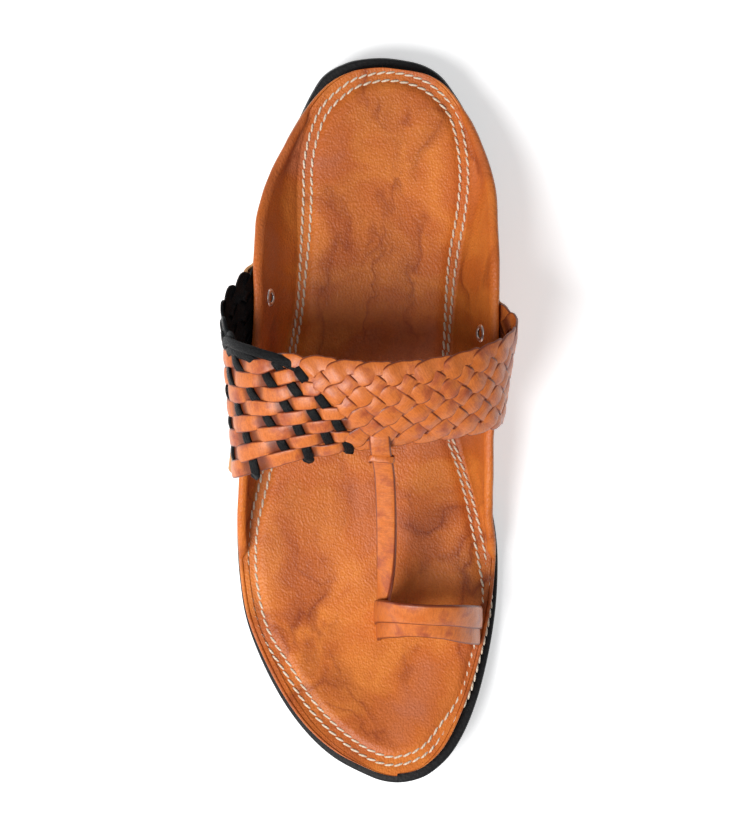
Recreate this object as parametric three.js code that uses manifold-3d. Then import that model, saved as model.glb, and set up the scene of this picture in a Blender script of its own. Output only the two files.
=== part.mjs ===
import * as THREE from 'three';
import { mergeVertices } from 'three/addons/utils/BufferGeometryUtils.js';
import Module from 'manifold-3d';

// A toe-loop sandal for the right foot, in millimetres.
// +Y points to the toe, +X to the outer side of the foot and +Z up.
// The origin is on the floor under the middle of the heel.

// Overall sizes of the shoe
const shoeLength = 272;
const ballWidth = 98;
const heelSetback = 32;
const instepHeight = 76;

// Sole
const soleThickness = 8;
const heelLift = 6;
const heelLength = 70;
const heelFlare = 0.9;
const toeSpring = 13;
const soleEdgeRound = 1.2;
const soleMargin = 3.8;

// Footbed with its raised sides, and the facings outside them
const floorThickness = 4;
const floorDish = 0.8;
const footbedStationCount = 28;
const soleStationCount = 40;
const heelStationCount = 18;
const wingReveal = 3.4;
const wingWall = 2;
const beadWidth = 1.7;
const rimBeadWidth = 0.6;
const footbedEdgeRound = 0.7;
const coveRun = 3.5;
const floorRun = 11;
const narrowBed = 40;
const facingHeight = 27.4;
const facingWall = 1.5;

// Woven band, instep strap and toe loop
const bandWall = 1.8;
const strandRise = 0.9;
const tabDepth = 19;
const bandWidth = 43;
const stripCount = 8;
const crossingCount = 7;
const crossingPitch = 9.7;
const crossingWidth = 4;
const crossingSlant = 5;
const firstCrossing = 4;
const plaitStart = 67;
const plaitHalfStep = 5.2;
const plaitRows = 8;
const darkPlaitRowCount = 4;
const weaveGroove = 0.5;
const padTaper = 0.86;
const padDepth = 1.1;
const diamondHalf = 0.93;
const plaitInset = 0.01;
const slitLength = 3;
const slitWidth = 1.3;
const instepStrapWidth = 7.5;
const instepStrapWall = 2.4;
const toeLoopWidth = 15;
const toeLoopWall = 2.6;
const toeLoopHeight = 36;

// Rivets
const capRadius = 5;
const capHeight = 1.3;
const shankRadius = 1.9;
const flangeRadius = 3.5;
const flangeHeight = 0.8;
const eyeRadius = 1.1;
const eyeDepth = 2.5;
const rivetSides = 12;
const capRound = 0.7;
const flangeRound = 0.4;
const holeOvershoot = 3;

// Clearances
const contactGap = 0.3;
const facingGap = 0.65;
const pocketGap = 0.7;
const rivetSeat = 0.45;
const holeClearance = 0.35;

const LATERAL = 1;
const MEDIAL = -1;
const heelEnd = -heelSetback;
const toeEnd = shoeLength - heelSetback;

// Half widths of the sole as shares of the ball width, along shares of the length
const soleRows = [
  { at: 0.0037, lateral: 0.094, medial: 0.102 },
  { at: 0.0081, lateral: 0.131, medial: 0.155 },
  { at: 0.0147, lateral: 0.171, medial: 0.196 },
  { at: 0.0257, lateral: 0.212, medial: 0.237 },
  { at: 0.0419, lateral: 0.244, medial: 0.274 },
  { at: 0.0713, lateral: 0.286, medial: 0.325 },
  { at: 0.1174, lateral: 0.337, medial: 0.378 },
  { at: 0.1730, lateral: 0.355, medial: 0.401 },
  { at: 0.2276, lateral: 0.357, medial: 0.393 },
  { at: 0.2832, lateral: 0.362, medial: 0.367 },
  { at: 0.3378, lateral: 0.378, medial: 0.347 },
  { at: 0.3934, lateral: 0.408, medial: 0.337 },
  { at: 0.4490, lateral: 0.444, medial: 0.337 },
  { at: 0.5046, lateral: 0.483, medial: 0.352 },
  { at: 0.5592, lateral: 0.515, medial: 0.388 },
  { at: 0.6138, lateral: 0.541, medial: 0.429 },
  { at: 0.6694, lateral: 0.544, medial: 0.454 },
  { at: 0.7240, lateral: 0.533, medial: 0.456 },
  { at: 0.7756, lateral: 0.509, medial: 0.444 },
  { at: 0.8342, lateral: 0.448, medial: 0.415 },
  { at: 0.8938, lateral: 0.358, medial: 0.370 },
  { at: 0.9373, lateral: 0.263, medial: 0.318 },
  { at: 0.9666, lateral: 0.169, medial: 0.263 },
  { at: 0.9889, lateral: 0.051, medial: 0.189 },
  { at: 0.9970, lateral: -0.008, medial: 0.133 },
];
const heelTipShift = -0.01;
const toeTipShift = -0.071;

// Where the sole's underside leaves the floor, as shares of the length
const shankEnd = 0.596;
const springStart = 0.724;
const springPower = 1.55;

// Margin of bare sole round the footbed, as shares of the sole margin
const marginRows = [
  { at: 0.000, lateral: 1.00, medial: 1.00 },
  { at: 0.019, lateral: 0.95, medial: 0.60 },
  { at: 0.045, lateral: 0.60, medial: 0.20 },
  { at: 0.080, lateral: 0.30, medial: 0.20 },
  { at: 0.120, lateral: 0.45, medial: 0.45 },
  { at: 0.242, lateral: 0.64, medial: 0.64 },
  { at: 0.494, lateral: 0.64, medial: 0.64 },
  { at: 0.596, lateral: 0.35, medial: 0.35 },
  { at: 0.656, lateral: 0.12, medial: 0.15 },
  { at: 0.717, lateral: 0.12, medial: 0.35 },
  { at: 0.778, lateral: 0.20, medial: 0.60 },
  { at: 0.828, lateral: 0.32, medial: 0.80 },
  { at: 0.919, lateral: 0.42, medial: 1.05 },
  { at: 1.000, lateral: 0.70, medial: 0.95 },
];

// Facing height as a share of its full height, and outward lean as a share of the ball width
const wingRows = [
  { at: 0.035, height: 0.020, lateral: 0.000, medial: 0.000 },
  { at: 0.056, height: 0.080, lateral: 0.010, medial: 0.010 },
  { at: 0.080, height: 0.150, lateral: 0.020, medial: 0.020 },
  { at: 0.117, height: 0.240, lateral: 0.041, medial: 0.035 },
  { at: 0.156, height: 0.380, lateral: 0.086, medial: 0.057 },
  { at: 0.193, height: 0.550, lateral: 0.121, medial: 0.076 },
  { at: 0.231, height: 0.730, lateral: 0.144, medial: 0.090 },
  { at: 0.283, height: 0.910, lateral: 0.146, medial: 0.121 },
  { at: 0.338, height: 0.960, lateral: 0.127, medial: 0.140 },
  { at: 0.393, height: 1.000, lateral: 0.105, medial: 0.150 },
  { at: 0.449, height: 0.940, lateral: 0.082, medial: 0.145 },
  { at: 0.496, height: 0.840, lateral: 0.060, medial: 0.125 },
  { at: 0.533, height: 0.745, lateral: 0.044, medial: 0.095 },
  { at: 0.571, height: 0.650, lateral: 0.030, medial: 0.062 },
  { at: 0.609, height: 0.510, lateral: 0.012, medial: 0.024 },
  { at: 0.647, height: 0.354, lateral: 0.003, medial: 0.000 },
  { at: 0.683, height: 0.165, lateral: 0.000, medial: 0.000 },
  { at: 0.719, height: 0.020, lateral: 0.000, medial: 0.000 },
];

// Rear and front edge of the band over the arch, by the turn round it in degrees from its outer
// side, as shares of the length; the first and last row are where the band enters the wings
const bandRows = [
  { turn: -24, rear: 0.297, front: 0.566 },
  { turn: 0, rear: 0.343, front: 0.577 },
  { turn: 20, rear: 0.387, front: 0.575 },
  { turn: 40, rear: 0.403, front: 0.566 },
  { turn: 60, rear: 0.414, front: 0.553 },
  { turn: 80, rear: 0.426, front: 0.540 },
  { turn: 100, rear: 0.429, front: 0.531 },
  { turn: 120, rear: 0.422, front: 0.524 },
  { turn: 140, rear: 0.408, front: 0.515 },
  { turn: 160, rear: 0.391, front: 0.506 },
  { turn: 180, rear: 0.371, front: 0.499 },
  { turn: 204, rear: 0.349, front: 0.496 },
];
const bandReach = {
  rear: { lateral: 0.592, medial: 0.520 },
  front: { lateral: 0.546, medial: 0.466 },
};
const archSpring = 0.52;
const archRise = { rear: 0.465, middle: 0.43, front: 0.275 };

// Part of the band's width that the dark plait takes at its rear edge, by distance along the band
// as a share of the distance to the light plait
const darkPlaitRows = [
  { at: 0.00, share: 0.41 },
  { at: 0.10, share: 0.37 },
  { at: 0.21, share: 0.28 },
  { at: 0.46, share: 0.13 },
  { at: 0.60, share: 0.10 },
  { at: 0.75, share: 0.09 },
  { at: 1.00, share: 0.04 },
];

// Instep strap: shares of the length, the ball width and the instep height, and roll in degrees
const instepStrapRows = [
  { along: 0.515, across: 0.000, up: 0.835, roll: 0 },
  { along: 0.533, across: -0.004, up: 0.815, roll: 0 },
  { along: 0.547, across: -0.010, up: 0.775, roll: 4 },
  { along: 0.570, across: -0.020, up: 0.715, roll: 12 },
  { along: 0.636, across: -0.028, up: 0.585, roll: 28 },
  { along: 0.697, across: -0.026, up: 0.440, roll: 48 },
  { along: 0.739, across: -0.016, up: 0.300, roll: 70 },
  { along: 0.765, across: -0.004, up: 0.160, roll: 86 },
  { along: 0.773, across: 0.002, up: 0.040, roll: 90 },
];

// Toe loop: shares of the ball width and of its own height; the tilt lowers its front edge
const toeLoopRows = [
  { across: 0.008, up: 0.06, shift: 0.000 },
  { across: 0.004, up: 0.36, shift: -0.004 },
  { across: -0.020, up: 0.66, shift: -0.006 },
  { across: -0.082, up: 0.90, shift: -0.006 },
  { across: -0.180, up: 0.965, shift: -0.004 },
  { across: -0.278, up: 0.86, shift: -0.002 },
  { across: -0.352, up: 0.60, shift: 0.002 },
  { across: -0.382, up: 0.32, shift: 0.004 },
  { across: -0.386, up: 0.06, shift: 0.006 },
];
const toeLoopAt = 0.779;
const toeLoopTilt = 32;

// Rivet places: share of the length, and height above the sole's top as a share of the facing's
const rivetPlaces = [
  { name: 'rivet_lateral_front', side: LATERAL, at: 0.496, up: 0.489 },
  { name: 'rivet_lateral_rear', side: LATERAL, at: 0.331, up: 0.657 },
  { name: 'rivet_medial_front', side: MEDIAL, at: 0.469, up: 0.566 },
  { name: 'rivet_medial_rear', side: MEDIAL, at: 0.381, up: 0.657 },
];

// Colours
const rubberBlack = 0x1b1b1d;
const leatherTan = 0xb8622a;
const leatherTanDark = 0xa9561f;
const rivetSilver = 0xc9c8c6;

const wasm = await Module();
wasm.setup();

// Small helpers
const alongFoot = (share) => heelEnd + share * shoeLength;
const shareAt = (y) => (y - heelEnd) / shoeLength;
const clamp01 = (value) => Math.min(1, Math.max(0, value));
const smooth = (value) => clamp01(value) ** 2 * (3 - 2 * clamp01(value));
const mix = THREE.MathUtils.lerp;

// A smooth curve through one column of a table, flat beyond its ends
function tableCurve(rows, key, column) {
  const knots = rows.map((row) => row[key]);
  const values = rows.map((row) => row[column]);
  const slope = (i) => (values[i + 1] - values[i]) / (knots[i + 1] - knots[i]);
  const tangents = knots.map((_, i) => {
    if (i === 0 || i === knots.length - 1) return 0;
    const before = slope(i - 1);
    const after = slope(i);
    return before * after > 0 ? (2 * before * after) / (before + after) : 0;
  });
  return (at) => {
    if (at <= knots[0]) return values[0];
    if (at >= knots[knots.length - 1]) return values[values.length - 1];
    const i = knots.findIndex((knot, k) => k > 0 && at <= knot) - 1;
    const span = knots[i + 1] - knots[i];
    const t = (at - knots[i]) / span;
    const rise = values[i + 1] - values[i];
    const bend = tangents[i] * span * t * (1 - t) ** 2 - tangents[i + 1] * span * t * t * (1 - t);
    return values[i] + rise * t * t * (3 - 2 * t) + bend;
  };
}

// End faces of a ring: rungs between its two halves, or spokes from a corner in its middle
function rungFaces(first, count) {
  const faces = [];
  for (let k = 0; k < count / 2 - 1; k += 1) {
    const [a, b, c, d] = [k, k + 1, count - 2 - k, count - 1 - k].map((corner) => first + corner);
    faces.push([a, b, c], [a, c, d]);
  }
  return faces;
}
function spokeFaces(first, count, hub) {
  return Array.from({ length: count }, (_, k) => [hub, first + k, first + ((k + 1) % count)]);
}

// A closed solid lofted through rings that all have the same number of points
function loft(rings, ends = 'rungs') {
  const count = rings[0].length;
  const corners = rings.flat();
  const last = (rings.length - 1) * count;
  const faces = [];
  for (let r = 0; r + 1 < rings.length; r += 1) {
    for (let k = 0; k < count; k += 1) {
      const next = (k + 1) % count;
      const a = r * count + k;
      const b = r * count + next;
      faces.push([a, b, b + count], [a, b + count, a + count]);
    }
  }
  const endFaces = (first) => {
    if (ends === 'rungs') return rungFaces(first, count);
    const hub = new THREE.Vector3();
    corners.slice(first, first + count).forEach((corner) => hub.addScaledVector(corner, 1 / count));
    corners.push(hub);
    return spokeFaces(first, count, corners.length - 1);
  };
  endFaces(0).forEach(([a, b, c]) => faces.push([a, c, b]));
  endFaces(last).forEach((face) => faces.push(face));
  return solidFrom(corners, faces);
}

// A manifold from corners and faces, turned so that its faces point out
function solidFrom(corners, faces) {
  const volume = faces.reduce((sum, [a, b, c]) => {
    return sum + corners[a].dot(corners[b].clone().cross(corners[c]));
  }, 0);
  const turned = volume > 0 ? faces : faces.map(([a, b, c]) => [a, c, b]);
  const vertProperties = new Float32Array(corners.flatMap((p) => [p.x, p.y, p.z]));
  const triVerts = new Uint32Array(turned.flat());
  return new wasm.Manifold(new wasm.Mesh({ numProp: 3, vertProperties, triVerts }));
}

// A manifold from a closed three.js geometry
function solidFromGeometry(geometry) {
  const bare = geometry.clone();
  bare.deleteAttribute('normal');
  bare.deleteAttribute('uv');
  const merged = mergeVertices(bare, 1e-4);
  const position = merged.attributes.position;
  const corners = Array.from({ length: position.count }, (_, i) => {
    return new THREE.Vector3().fromBufferAttribute(position, i);
  });
  const index = Array.from(merged.index.array);
  const faces = [];
  for (let i = 0; i < index.length; i += 3) {
    const face = index.slice(i, i + 3);
    if (new Set(face).size === 3) faces.push(face);
  }
  return solidFrom(corners, faces);
}

function namedMesh(name, solid, material) {
  const data = solid.getMesh();
  const geometry = new THREE.BufferGeometry();
  geometry.setAttribute('position', new THREE.BufferAttribute(Float32Array.from(data.vertProperties), 3));
  geometry.setIndex(new THREE.BufferAttribute(Uint32Array.from(data.triVerts), 1));
  geometry.computeVertexNormals();
  const mesh = new THREE.Mesh(geometry, material);
  mesh.name = name;
  return mesh;
}

// Outline of the sole seen from above, and outlines drawn inside it by a margin
const soleOutlinePoints = [
  new THREE.Vector3(heelTipShift * ballWidth, heelEnd, 0),
  ...soleRows.map((row) => new THREE.Vector3(row.lateral * ballWidth, alongFoot(row.at), 0)),
  new THREE.Vector3(toeTipShift * ballWidth, toeEnd, 0),
  ...soleRows.map((row) => new THREE.Vector3(-row.medial * ballWidth, alongFoot(row.at), 0)).reverse(),
];
const outlineSteps = 600;
const soleOutline = new THREE.CatmullRomCurve3(soleOutlinePoints, true, 'centripetal')
  .getSpacedPoints(outlineSteps)
  .slice(0, outlineSteps);

function outlineWithin(marginOf) {
  const loop = soleOutline.map((point, i) => {
    const before = soleOutline[(i + outlineSteps - 1) % outlineSteps];
    const after = soleOutline[(i + 1) % outlineSteps];
    const inward = new THREE.Vector3(-(after.y - before.y), after.x - before.x, 0).normalize();
    return point.clone().addScaledVector(inward, marginOf(point));
  });
  const ys = loop.map((point) => point.y);
  const heel = ys.indexOf(Math.min(...ys));
  const toe = ys.indexOf(Math.max(...ys));
  const chain = (from, to) => {
    const points = [];
    for (let i = from; i !== to; i = (i + 1) % outlineSteps) points.push(loop[i]);
    points.push(loop[to]);
    return points;
  };
  const chains = { [LATERAL]: chain(heel, toe), [MEDIAL]: chain(toe, heel).reverse() };
  const edge = (side, y) => {
    const points = chains[side];
    const i = Math.max(1, points.findIndex((point) => point.y >= y));
    const t = clamp01((y - points[i - 1].y) / (points[i].y - points[i - 1].y));
    return mix(points[i - 1].x, points[i].x, t);
  };
  return { edge, start: ys[heel], end: ys[toe] };
}

// Stations along the foot, closer together towards both rounded ends, with blunt tips
const tipBluntness = 0.28;
function stationsBetween(start, end, count) {
  return Array.from({ length: count }, (_, i) => {
    const turn = (Math.PI * (i + tipBluntness)) / (count - 1 + 2 * tipBluntness);
    return mix(start, end, (1 - Math.cos(turn)) / 2);
  });
}

const soleEdge = outlineWithin(() => 0);
const lateralMargin = tableCurve(marginRows, 'at', 'lateral');
const medialMargin = tableCurve(marginRows, 'at', 'medial');
const footbedEdge = outlineWithin((point) => {
  const margin = point.x > toeTipShift * ballWidth ? lateralMargin : medialMargin;
  return margin(shareAt(point.y)) * soleMargin;
});

// Heights of the sole's two faces above the floor
function soleBottom(y) {
  const share = shareAt(y);
  const shank = (share - heelLength / shoeLength) / (shankEnd - heelLength / shoeLength);
  const spring = clamp01((share - springStart) / (1 - springStart));
  return heelLift * (1 - smooth(shank)) + toeSpring * spring ** springPower;
}
const soleTop = (y) => soleBottom(y) + soleThickness;

function makeOutsole() {
  const rings = stationsBetween(soleEdge.start, soleEdge.end, soleStationCount).map((y) => {
    const lateral = soleEdge.edge(LATERAL, y);
    const medial = soleEdge.edge(MEDIAL, y);
    const round = Math.min(soleEdgeRound, (lateral - medial) / 5);
    const low = soleBottom(y);
    const high = soleTop(y);
    return [
      new THREE.Vector3(lateral - round, y, low),
      new THREE.Vector3(lateral, y, low + round),
      new THREE.Vector3(lateral, y, high - round / 2),
      new THREE.Vector3(lateral - round / 2, y, high),
      new THREE.Vector3(medial + round / 2, y, high),
      new THREE.Vector3(medial, y, high - round / 2),
      new THREE.Vector3(medial, y, low + round),
      new THREE.Vector3(medial + round, y, low),
    ];
  });
  return loft(rings);
}

function makeHeelLift() {
  const start = soleEdge.start + contactGap / 2;
  const front = heelEnd + heelLength;
  const top = heelLift - contactGap;
  const count = heelStationCount;
  const flareOutline = outlineWithin(() => -heelFlare);
  const rings = Array.from({ length: count }, (_, i) => {
    const turn = ((Math.PI / 2) * (i + tipBluntness / 2)) / (count - 1 + tipBluntness / 2);
    const y = mix(start, front, 1 - Math.cos(turn));
    const grown = flareOutline.start + ((y - start) * (front - flareOutline.start)) / (front - start);
    return [
      new THREE.Vector3(soleEdge.edge(LATERAL, y), y, top),
      new THREE.Vector3(flareOutline.edge(LATERAL, grown), grown, 0),
      new THREE.Vector3(flareOutline.edge(MEDIAL, grown), grown, 0),
      new THREE.Vector3(soleEdge.edge(MEDIAL, y), y, top),
    ];
  });
  return loft(rings);
}

// Pockets between wing and facing that take the ends of the band, open a little past its edges
const pocketEdges = {
  [LATERAL]: bandRows[0],
  [MEDIAL]: bandRows[bandRows.length - 1],
};
const pocketRamp = 0.03;
const pocketSpare = 0.012;
const tabLow = facingHeight - tabDepth;
const pocketLow = tabLow - 1;

// Stations of the footbed and the facings: evenly eased ones, and the edges of the pockets
const pocketStations = [LATERAL, MEDIAL].flatMap((side) => {
  const { rear, front } = pocketEdges[side];
  const ends = [rear - pocketSpare, front + pocketSpare];
  return [ends[0] - pocketRamp, ...ends, ends[1] + pocketRamp].map(alongFoot);
});
const footbedStations = [
  ...stationsBetween(footbedEdge.start, footbedEdge.end, footbedStationCount)
    .filter((y) => pocketStations.every((station) => Math.abs(station - y) > 2)),
  ...pocketStations,
].sort((a, b) => a - b);

// The footbed's raised sides: full height of the facing and of the wing inside it
const facingShare = tableCurve(wingRows, 'at', 'height');
const leanShare = {
  [LATERAL]: tableCurve(wingRows, 'at', 'lateral'),
  [MEDIAL]: tableCurve(wingRows, 'at', 'medial'),
};
const rimHeight = floorThickness + contactGap + floorDish / 2;
const facingTop = (y) => facingShare(shareAt(y)) * facingHeight;
function wingTop(y) {
  const reveal = wingReveal * smooth(facingTop(y) / (2 * wingReveal));
  return Math.max(rimHeight, facingTop(y) + reveal);
}

// Outer face of a wing at a height above the sole's top
function wingFace(side, y, height) {
  const lean = leanShare[side](shareAt(y)) * ballWidth;
  const rise = Math.max(0, height) / Math.max(wingTop(y), 2 * rimHeight);
  return footbedEdge.edge(side, y) + side * lean * rise;
}

// Top of the footbed's floor, sunk a little along its middle
const floorTop = (y) => soleTop(y) + contactGap + floorThickness;

function footbedSide(side, y) {
  const width = footbedEdge.edge(LATERAL, y) - footbedEdge.edge(MEDIAL, y);
  const fit = Math.min(1, width / narrowBed);
  const top = wingTop(y);
  const floor = floorThickness + contactGap;
  const bead = mix(rimBeadWidth, beadWidth, smooth((top - rimHeight) / (2 * beadWidth)));
  const wall = wingWall * fit;
  const above = (share) => floor + (top - floor) * share;
  const inset = (distance, height) => {
    const x = wingFace(side, y, height) - side * distance * fit;
    return new THREE.Vector3(x, y, soleTop(y) + height);
  };
  return [
    inset(footbedEdgeRound, contactGap),
    inset(0, contactGap + footbedEdgeRound),
    inset(0, top * 0.55),
    inset(0, top - bead * 0.8),
    inset(bead * 0.35, top - bead * 0.15),
    inset(bead, top),
    inset(bead * 1.55, Math.max(above(0.9), top - bead * 0.25)),
    inset(wall + bead * 0.2, Math.max(above(0.75), top - bead * 1.3)),
    inset(wall, above(0.45)),
    inset(wall + footbedEdgeRound, above(0.12)),
    inset(wall + coveRun, floor - floorDish * 0.2),
    inset(wall + floorRun, floor - floorDish * 0.75),
  ];
}

function makeFootbed() {
  const rings = footbedStations.map((y) => {
    const lateral = footbedSide(LATERAL, y);
    const medial = footbedSide(MEDIAL, y).reverse();
    const middle = lateral[lateral.length - 1].clone().lerp(medial[0], 0.5);
    middle.z -= floorDish * 0.2;
    return [...lateral, middle, ...medial];
  });
  return loft(rings, 'spokes');
}

function pocketDepth(side, y, height) {
  const share = shareAt(y);
  const { rear, front } = pocketEdges[side];
  const behind = (share - rear + pocketSpare) / pocketRamp + 1;
  const ahead = (front + pocketSpare - share) / pocketRamp + 1;
  const open = smooth(behind) * smooth(ahead);
  const lift = smooth(height / pocketLow);
  return open * lift * (bandWall + 2 * pocketGap - facingGap);
}
const facingFace = (side, y, height) => {
  return wingFace(side, y, height) + side * (facingGap + pocketDepth(side, y, height));
};

function makeFacing(side) {
  const start = alongFoot(wingRows[0].at);
  const end = alongFoot(wingRows[wingRows.length - 1].at);
  const between = footbedStations.filter((y) => y > start + 1 && y < end - 1);
  const rings = [start, ...between, end].map((y) => {
    const top = Math.max(facingTop(y), 2 * contactGap);
    const corner = (height, distance) => {
      return new THREE.Vector3(facingFace(side, y, height) + side * distance, y, soleTop(y) + height);
    };
    const low = Math.min(pocketLow, top * 0.4);
    const heights = [contactGap, low, Math.max(Math.min(wingTop(y) * 0.55, top * 0.7), low), top];
    const inner = heights.map((height) => corner(height, 0));
    const outer = heights.map((height) => corner(height, facingWall)).reverse();
    return [...inner, ...outer];
  });
  return loft(rings);
}

// The band's middle surface: v runs from its rear edge to its front edge
const rearShare = tableCurve(bandRows, 'turn', 'rear');
const frontShare = tableCurve(bandRows, 'turn', 'front');
const bandShare = (turn, v) => mix(rearShare(turn), frontShare(turn), v);
const lateralEntry = bandRows[0].turn;
const medialEntry = bandRows[bandRows.length - 1].turn;
const halfBand = bandWall / 2;

function bandOnWing(side, v, height) {
  const y = alongFoot(bandShare(side === LATERAL ? lateralEntry : medialEntry, v));
  const x = wingFace(side, y, height) + side * (pocketGap + halfBand);
  return new THREE.Vector3(x, y, soleTop(y) + height);
}

function bandOnArch(turn, v) {
  const y = alongFoot(bandShare(turn, v));
  const angle = THREE.MathUtils.degToRad(turn);
  const lateral = mix(bandReach.rear.lateral, bandReach.front.lateral, v) * ballWidth;
  const medial = mix(bandReach.rear.medial, bandReach.front.medial, v) * ballWidth;
  const middle = (lateral - medial) / 2;
  const reach = (lateral + medial) / 2;
  const bow = 4 * v * (1 - v);
  const straight = mix(archRise.rear, archRise.front, v);
  const crown = bow * (archRise.middle - (archRise.rear + archRise.front) / 2);
  const rise = (straight + crown) * instepHeight;
  const x = middle + reach * Math.cos(angle);
  return new THREE.Vector3(x, y, soleTop(y) + archSpring * instepHeight + rise * Math.sin(angle));
}

const bandCurves = new Map();
function bandCurve(v) {
  const key = Math.round(v * 1e5);
  if (!bandCurves.has(key)) {
    const yLateral = alongFoot(bandShare(lateralEntry, v));
    const yMedial = alongFoot(bandShare(medialEntry, v));
    const lateralTop = wingTop(yLateral);
    const medialTop = wingTop(yMedial);
    const points = [
      bandOnWing(LATERAL, v, tabLow),
      bandOnWing(LATERAL, v, mix(tabLow, lateralTop, 0.5)),
      bandOnWing(LATERAL, v, lateralTop - wingReveal / 2),
      ...bandRows.slice(1, -1).map((row) => bandOnArch(row.turn, v)),
      bandOnWing(MEDIAL, v, medialTop - wingReveal / 2),
      bandOnWing(MEDIAL, v, mix(tabLow, medialTop, 0.5)),
      bandOnWing(MEDIAL, v, tabLow),
    ];
    const curve = new THREE.CatmullRomCurve3(points, false, 'centripetal');
    const steps = 40;
    curve.arcLengthDivisions = (points.length - 1) * steps;
    const lengths = curve.getLengths();
    const entry = lengths[2 * steps];
    const exit = lengths[(points.length - 3) * steps] - entry;
    bandCurves.set(key, { curve, length: curve.getLength(), entry, exit });
  }
  return bandCurves.get(key);
}

// A point at a distance along the band from where it leaves the outer wing, lifted off its middle
function bandAt(distance, v) {
  const { curve, length, entry } = bandCurve(v);
  return curve.getPointAt(clamp01((entry + distance) / length));
}
const archCentre = new THREE.Vector3(0, 0, archSpring * instepHeight);
function bandPoint(distance, v, lift) {
  const point = bandAt(distance, v);
  const along = bandAt(distance + 0.5, v).sub(bandAt(distance - 0.5, v));
  const across = bandAt(distance, Math.min(1, v + 0.02)).sub(bandAt(distance, Math.max(0, v - 0.02)));
  const normal = along.cross(across).normalize();
  const outward = point.clone().sub(archCentre);
  outward.y = 0;
  if (normal.dot(outward) < 0) normal.negate();
  return point.addScaledVector(normal, lift);
}

// The band's wall: stations down each end inside the wings and evenly round the arch
function makeBandWall() {
  const across = [0, 0.16, 0.33, 0.67, 1];
  const archSteps = 22;
  const distances = (v) => {
    const { length, entry, exit } = bandCurve(v);
    const tail = length - entry - exit;
    const arch = Array.from({ length: archSteps + 1 }, (_, i) => (exit * i) / archSteps);
    return [-entry, -entry / 2, ...arch, exit + tail / 2, exit + tail];
  };
  const stations = across.map(distances);
  const rings = stations[0].map((_, i) => {
    const outer = across.map((v, k) => bandPoint(stations[k][i], v, halfBand));
    const inner = across.map((v, k) => bandPoint(stations[k][i], v, -halfBand)).reverse();
    return [...outer, ...inner];
  });
  return loft(rings);
}

// A raised strip on the band over a four-sided patch of [distance, v] corners
function bandPad(corners, rise, segments, lowLift = halfBand - padDepth) {
  const centre = [0, 1].map((k) => corners.reduce((sum, corner) => sum + corner[k], 0) / 4);
  const drawn = corners.map((corner) => corner.map((value, k) => mix(centre[k], value, padTaper)));
  const between = (from, to, t) => from.map((value, k) => mix(value, to[k], t));
  const [a, b, c, d] = corners;
  const [e, f, g, h] = drawn;
  const rings = Array.from({ length: segments + 1 }, (_, i) => {
    const t = i / segments;
    return [
      bandPoint(...between(a, d, t), lowLift),
      bandPoint(...between(b, c, t), lowLift),
      bandPoint(...between(f, g, t), halfBand + rise),
      bandPoint(...between(e, h, t), halfBand + rise),
    ];
  });
  return loft(rings);
}

// Share of the band's width behind the strips, which the dark plait takes
const darkShare = tableCurve(darkPlaitRows, 'at', 'share');
const stripEdge = (distance, strip) => mix(darkShare(distance / plaitStart), 1, strip / stripCount);
function crossingAt(line, v) {
  return firstCrossing + line * crossingPitch + crossingSlant * (v - 0.5);
}

// Light strips along the outer half of the band: each runs over every other dark strip, which
// shows between its raised lengths at the level of the wall
function makeStrips() {
  const pads = [];
  const groove = weaveGroove / 2 / bandWidth;
  const reach = crossingPitch - crossingWidth / 2 - weaveGroove;
  for (let strip = 0; strip < stripCount; strip += 1) {
    for (let line = -1; line <= crossingCount; line += 1) {
      const isDarkOver = (strip + line) % 2 !== 0;
      const here = crossingAt(line, (strip + 0.5) / stripCount);
      const from = Math.max(here - reach, weaveGroove);
      const to = Math.min(here + reach, plaitStart - 2);
      if (isDarkOver || to - from < crossingWidth) continue;
      pads.push(bandPad([
        [from, stripEdge(from, strip) + groove],
        [from, stripEdge(from, strip + 1) - groove],
        [to, stripEdge(to, strip + 1) - groove],
        [to, stripEdge(to, strip) + groove],
      ], strandRise, 3));
    }
  }
  return pads;
}

// Diamonds of a flat plait from one distance to another, between two edges of the band
function makePlait(from, to, rows, rearEdge, frontEdge) {
  const pads = [];
  for (let row = 0; row <= rows; row += 1) {
    const shift = row % 2 === 0 ? 0 : plaitHalfStep;
    const rowEdge = (count, distance) => {
      return mix(rearEdge(distance), frontEdge(distance), clamp01(count / rows));
    };
    const reach = plaitHalfStep - weaveGroove / 2;
    for (let middle = from + shift; middle + reach < to(row / rows); middle += 2 * plaitHalfStep) {
      pads.push(bandPad([
        [middle - reach, rowEdge(row, middle - reach)],
        [middle, rowEdge(row - diamondHalf, middle)],
        [middle + reach, rowEdge(row, middle + reach)],
        [middle, rowEdge(row + diamondHalf, middle)],
      ], strandRise, 1));
    }
  }
  return pads;
}

// A flat strap along a path: its width direction is turned by the roll from level
function makeStrap(points, widthAxes, width, wall, steps) {
  const path = new THREE.CatmullRomCurve3(points, false, 'centripetal');
  const axisPath = new THREE.CatmullRomCurve3(widthAxes, false, 'centripetal');
  const rings = Array.from({ length: steps + 1 }, (_, i) => {
    const centre = path.getPoint(i / steps);
    const along = path.getTangent(i / steps);
    const side = axisPath.getPoint(i / steps).normalize();
    side.addScaledVector(along, -side.dot(along)).normalize();
    const up = side.clone().cross(along).normalize();
    const corner = (s, u) => {
      return centre.clone().addScaledVector(side, (s * width) / 2).addScaledVector(up, (u * wall) / 2);
    };
    return [corner(-1, -1), corner(1, -1), corner(1, 1), corner(-1, 1)];
  });
  return loft(rings);
}

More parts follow.
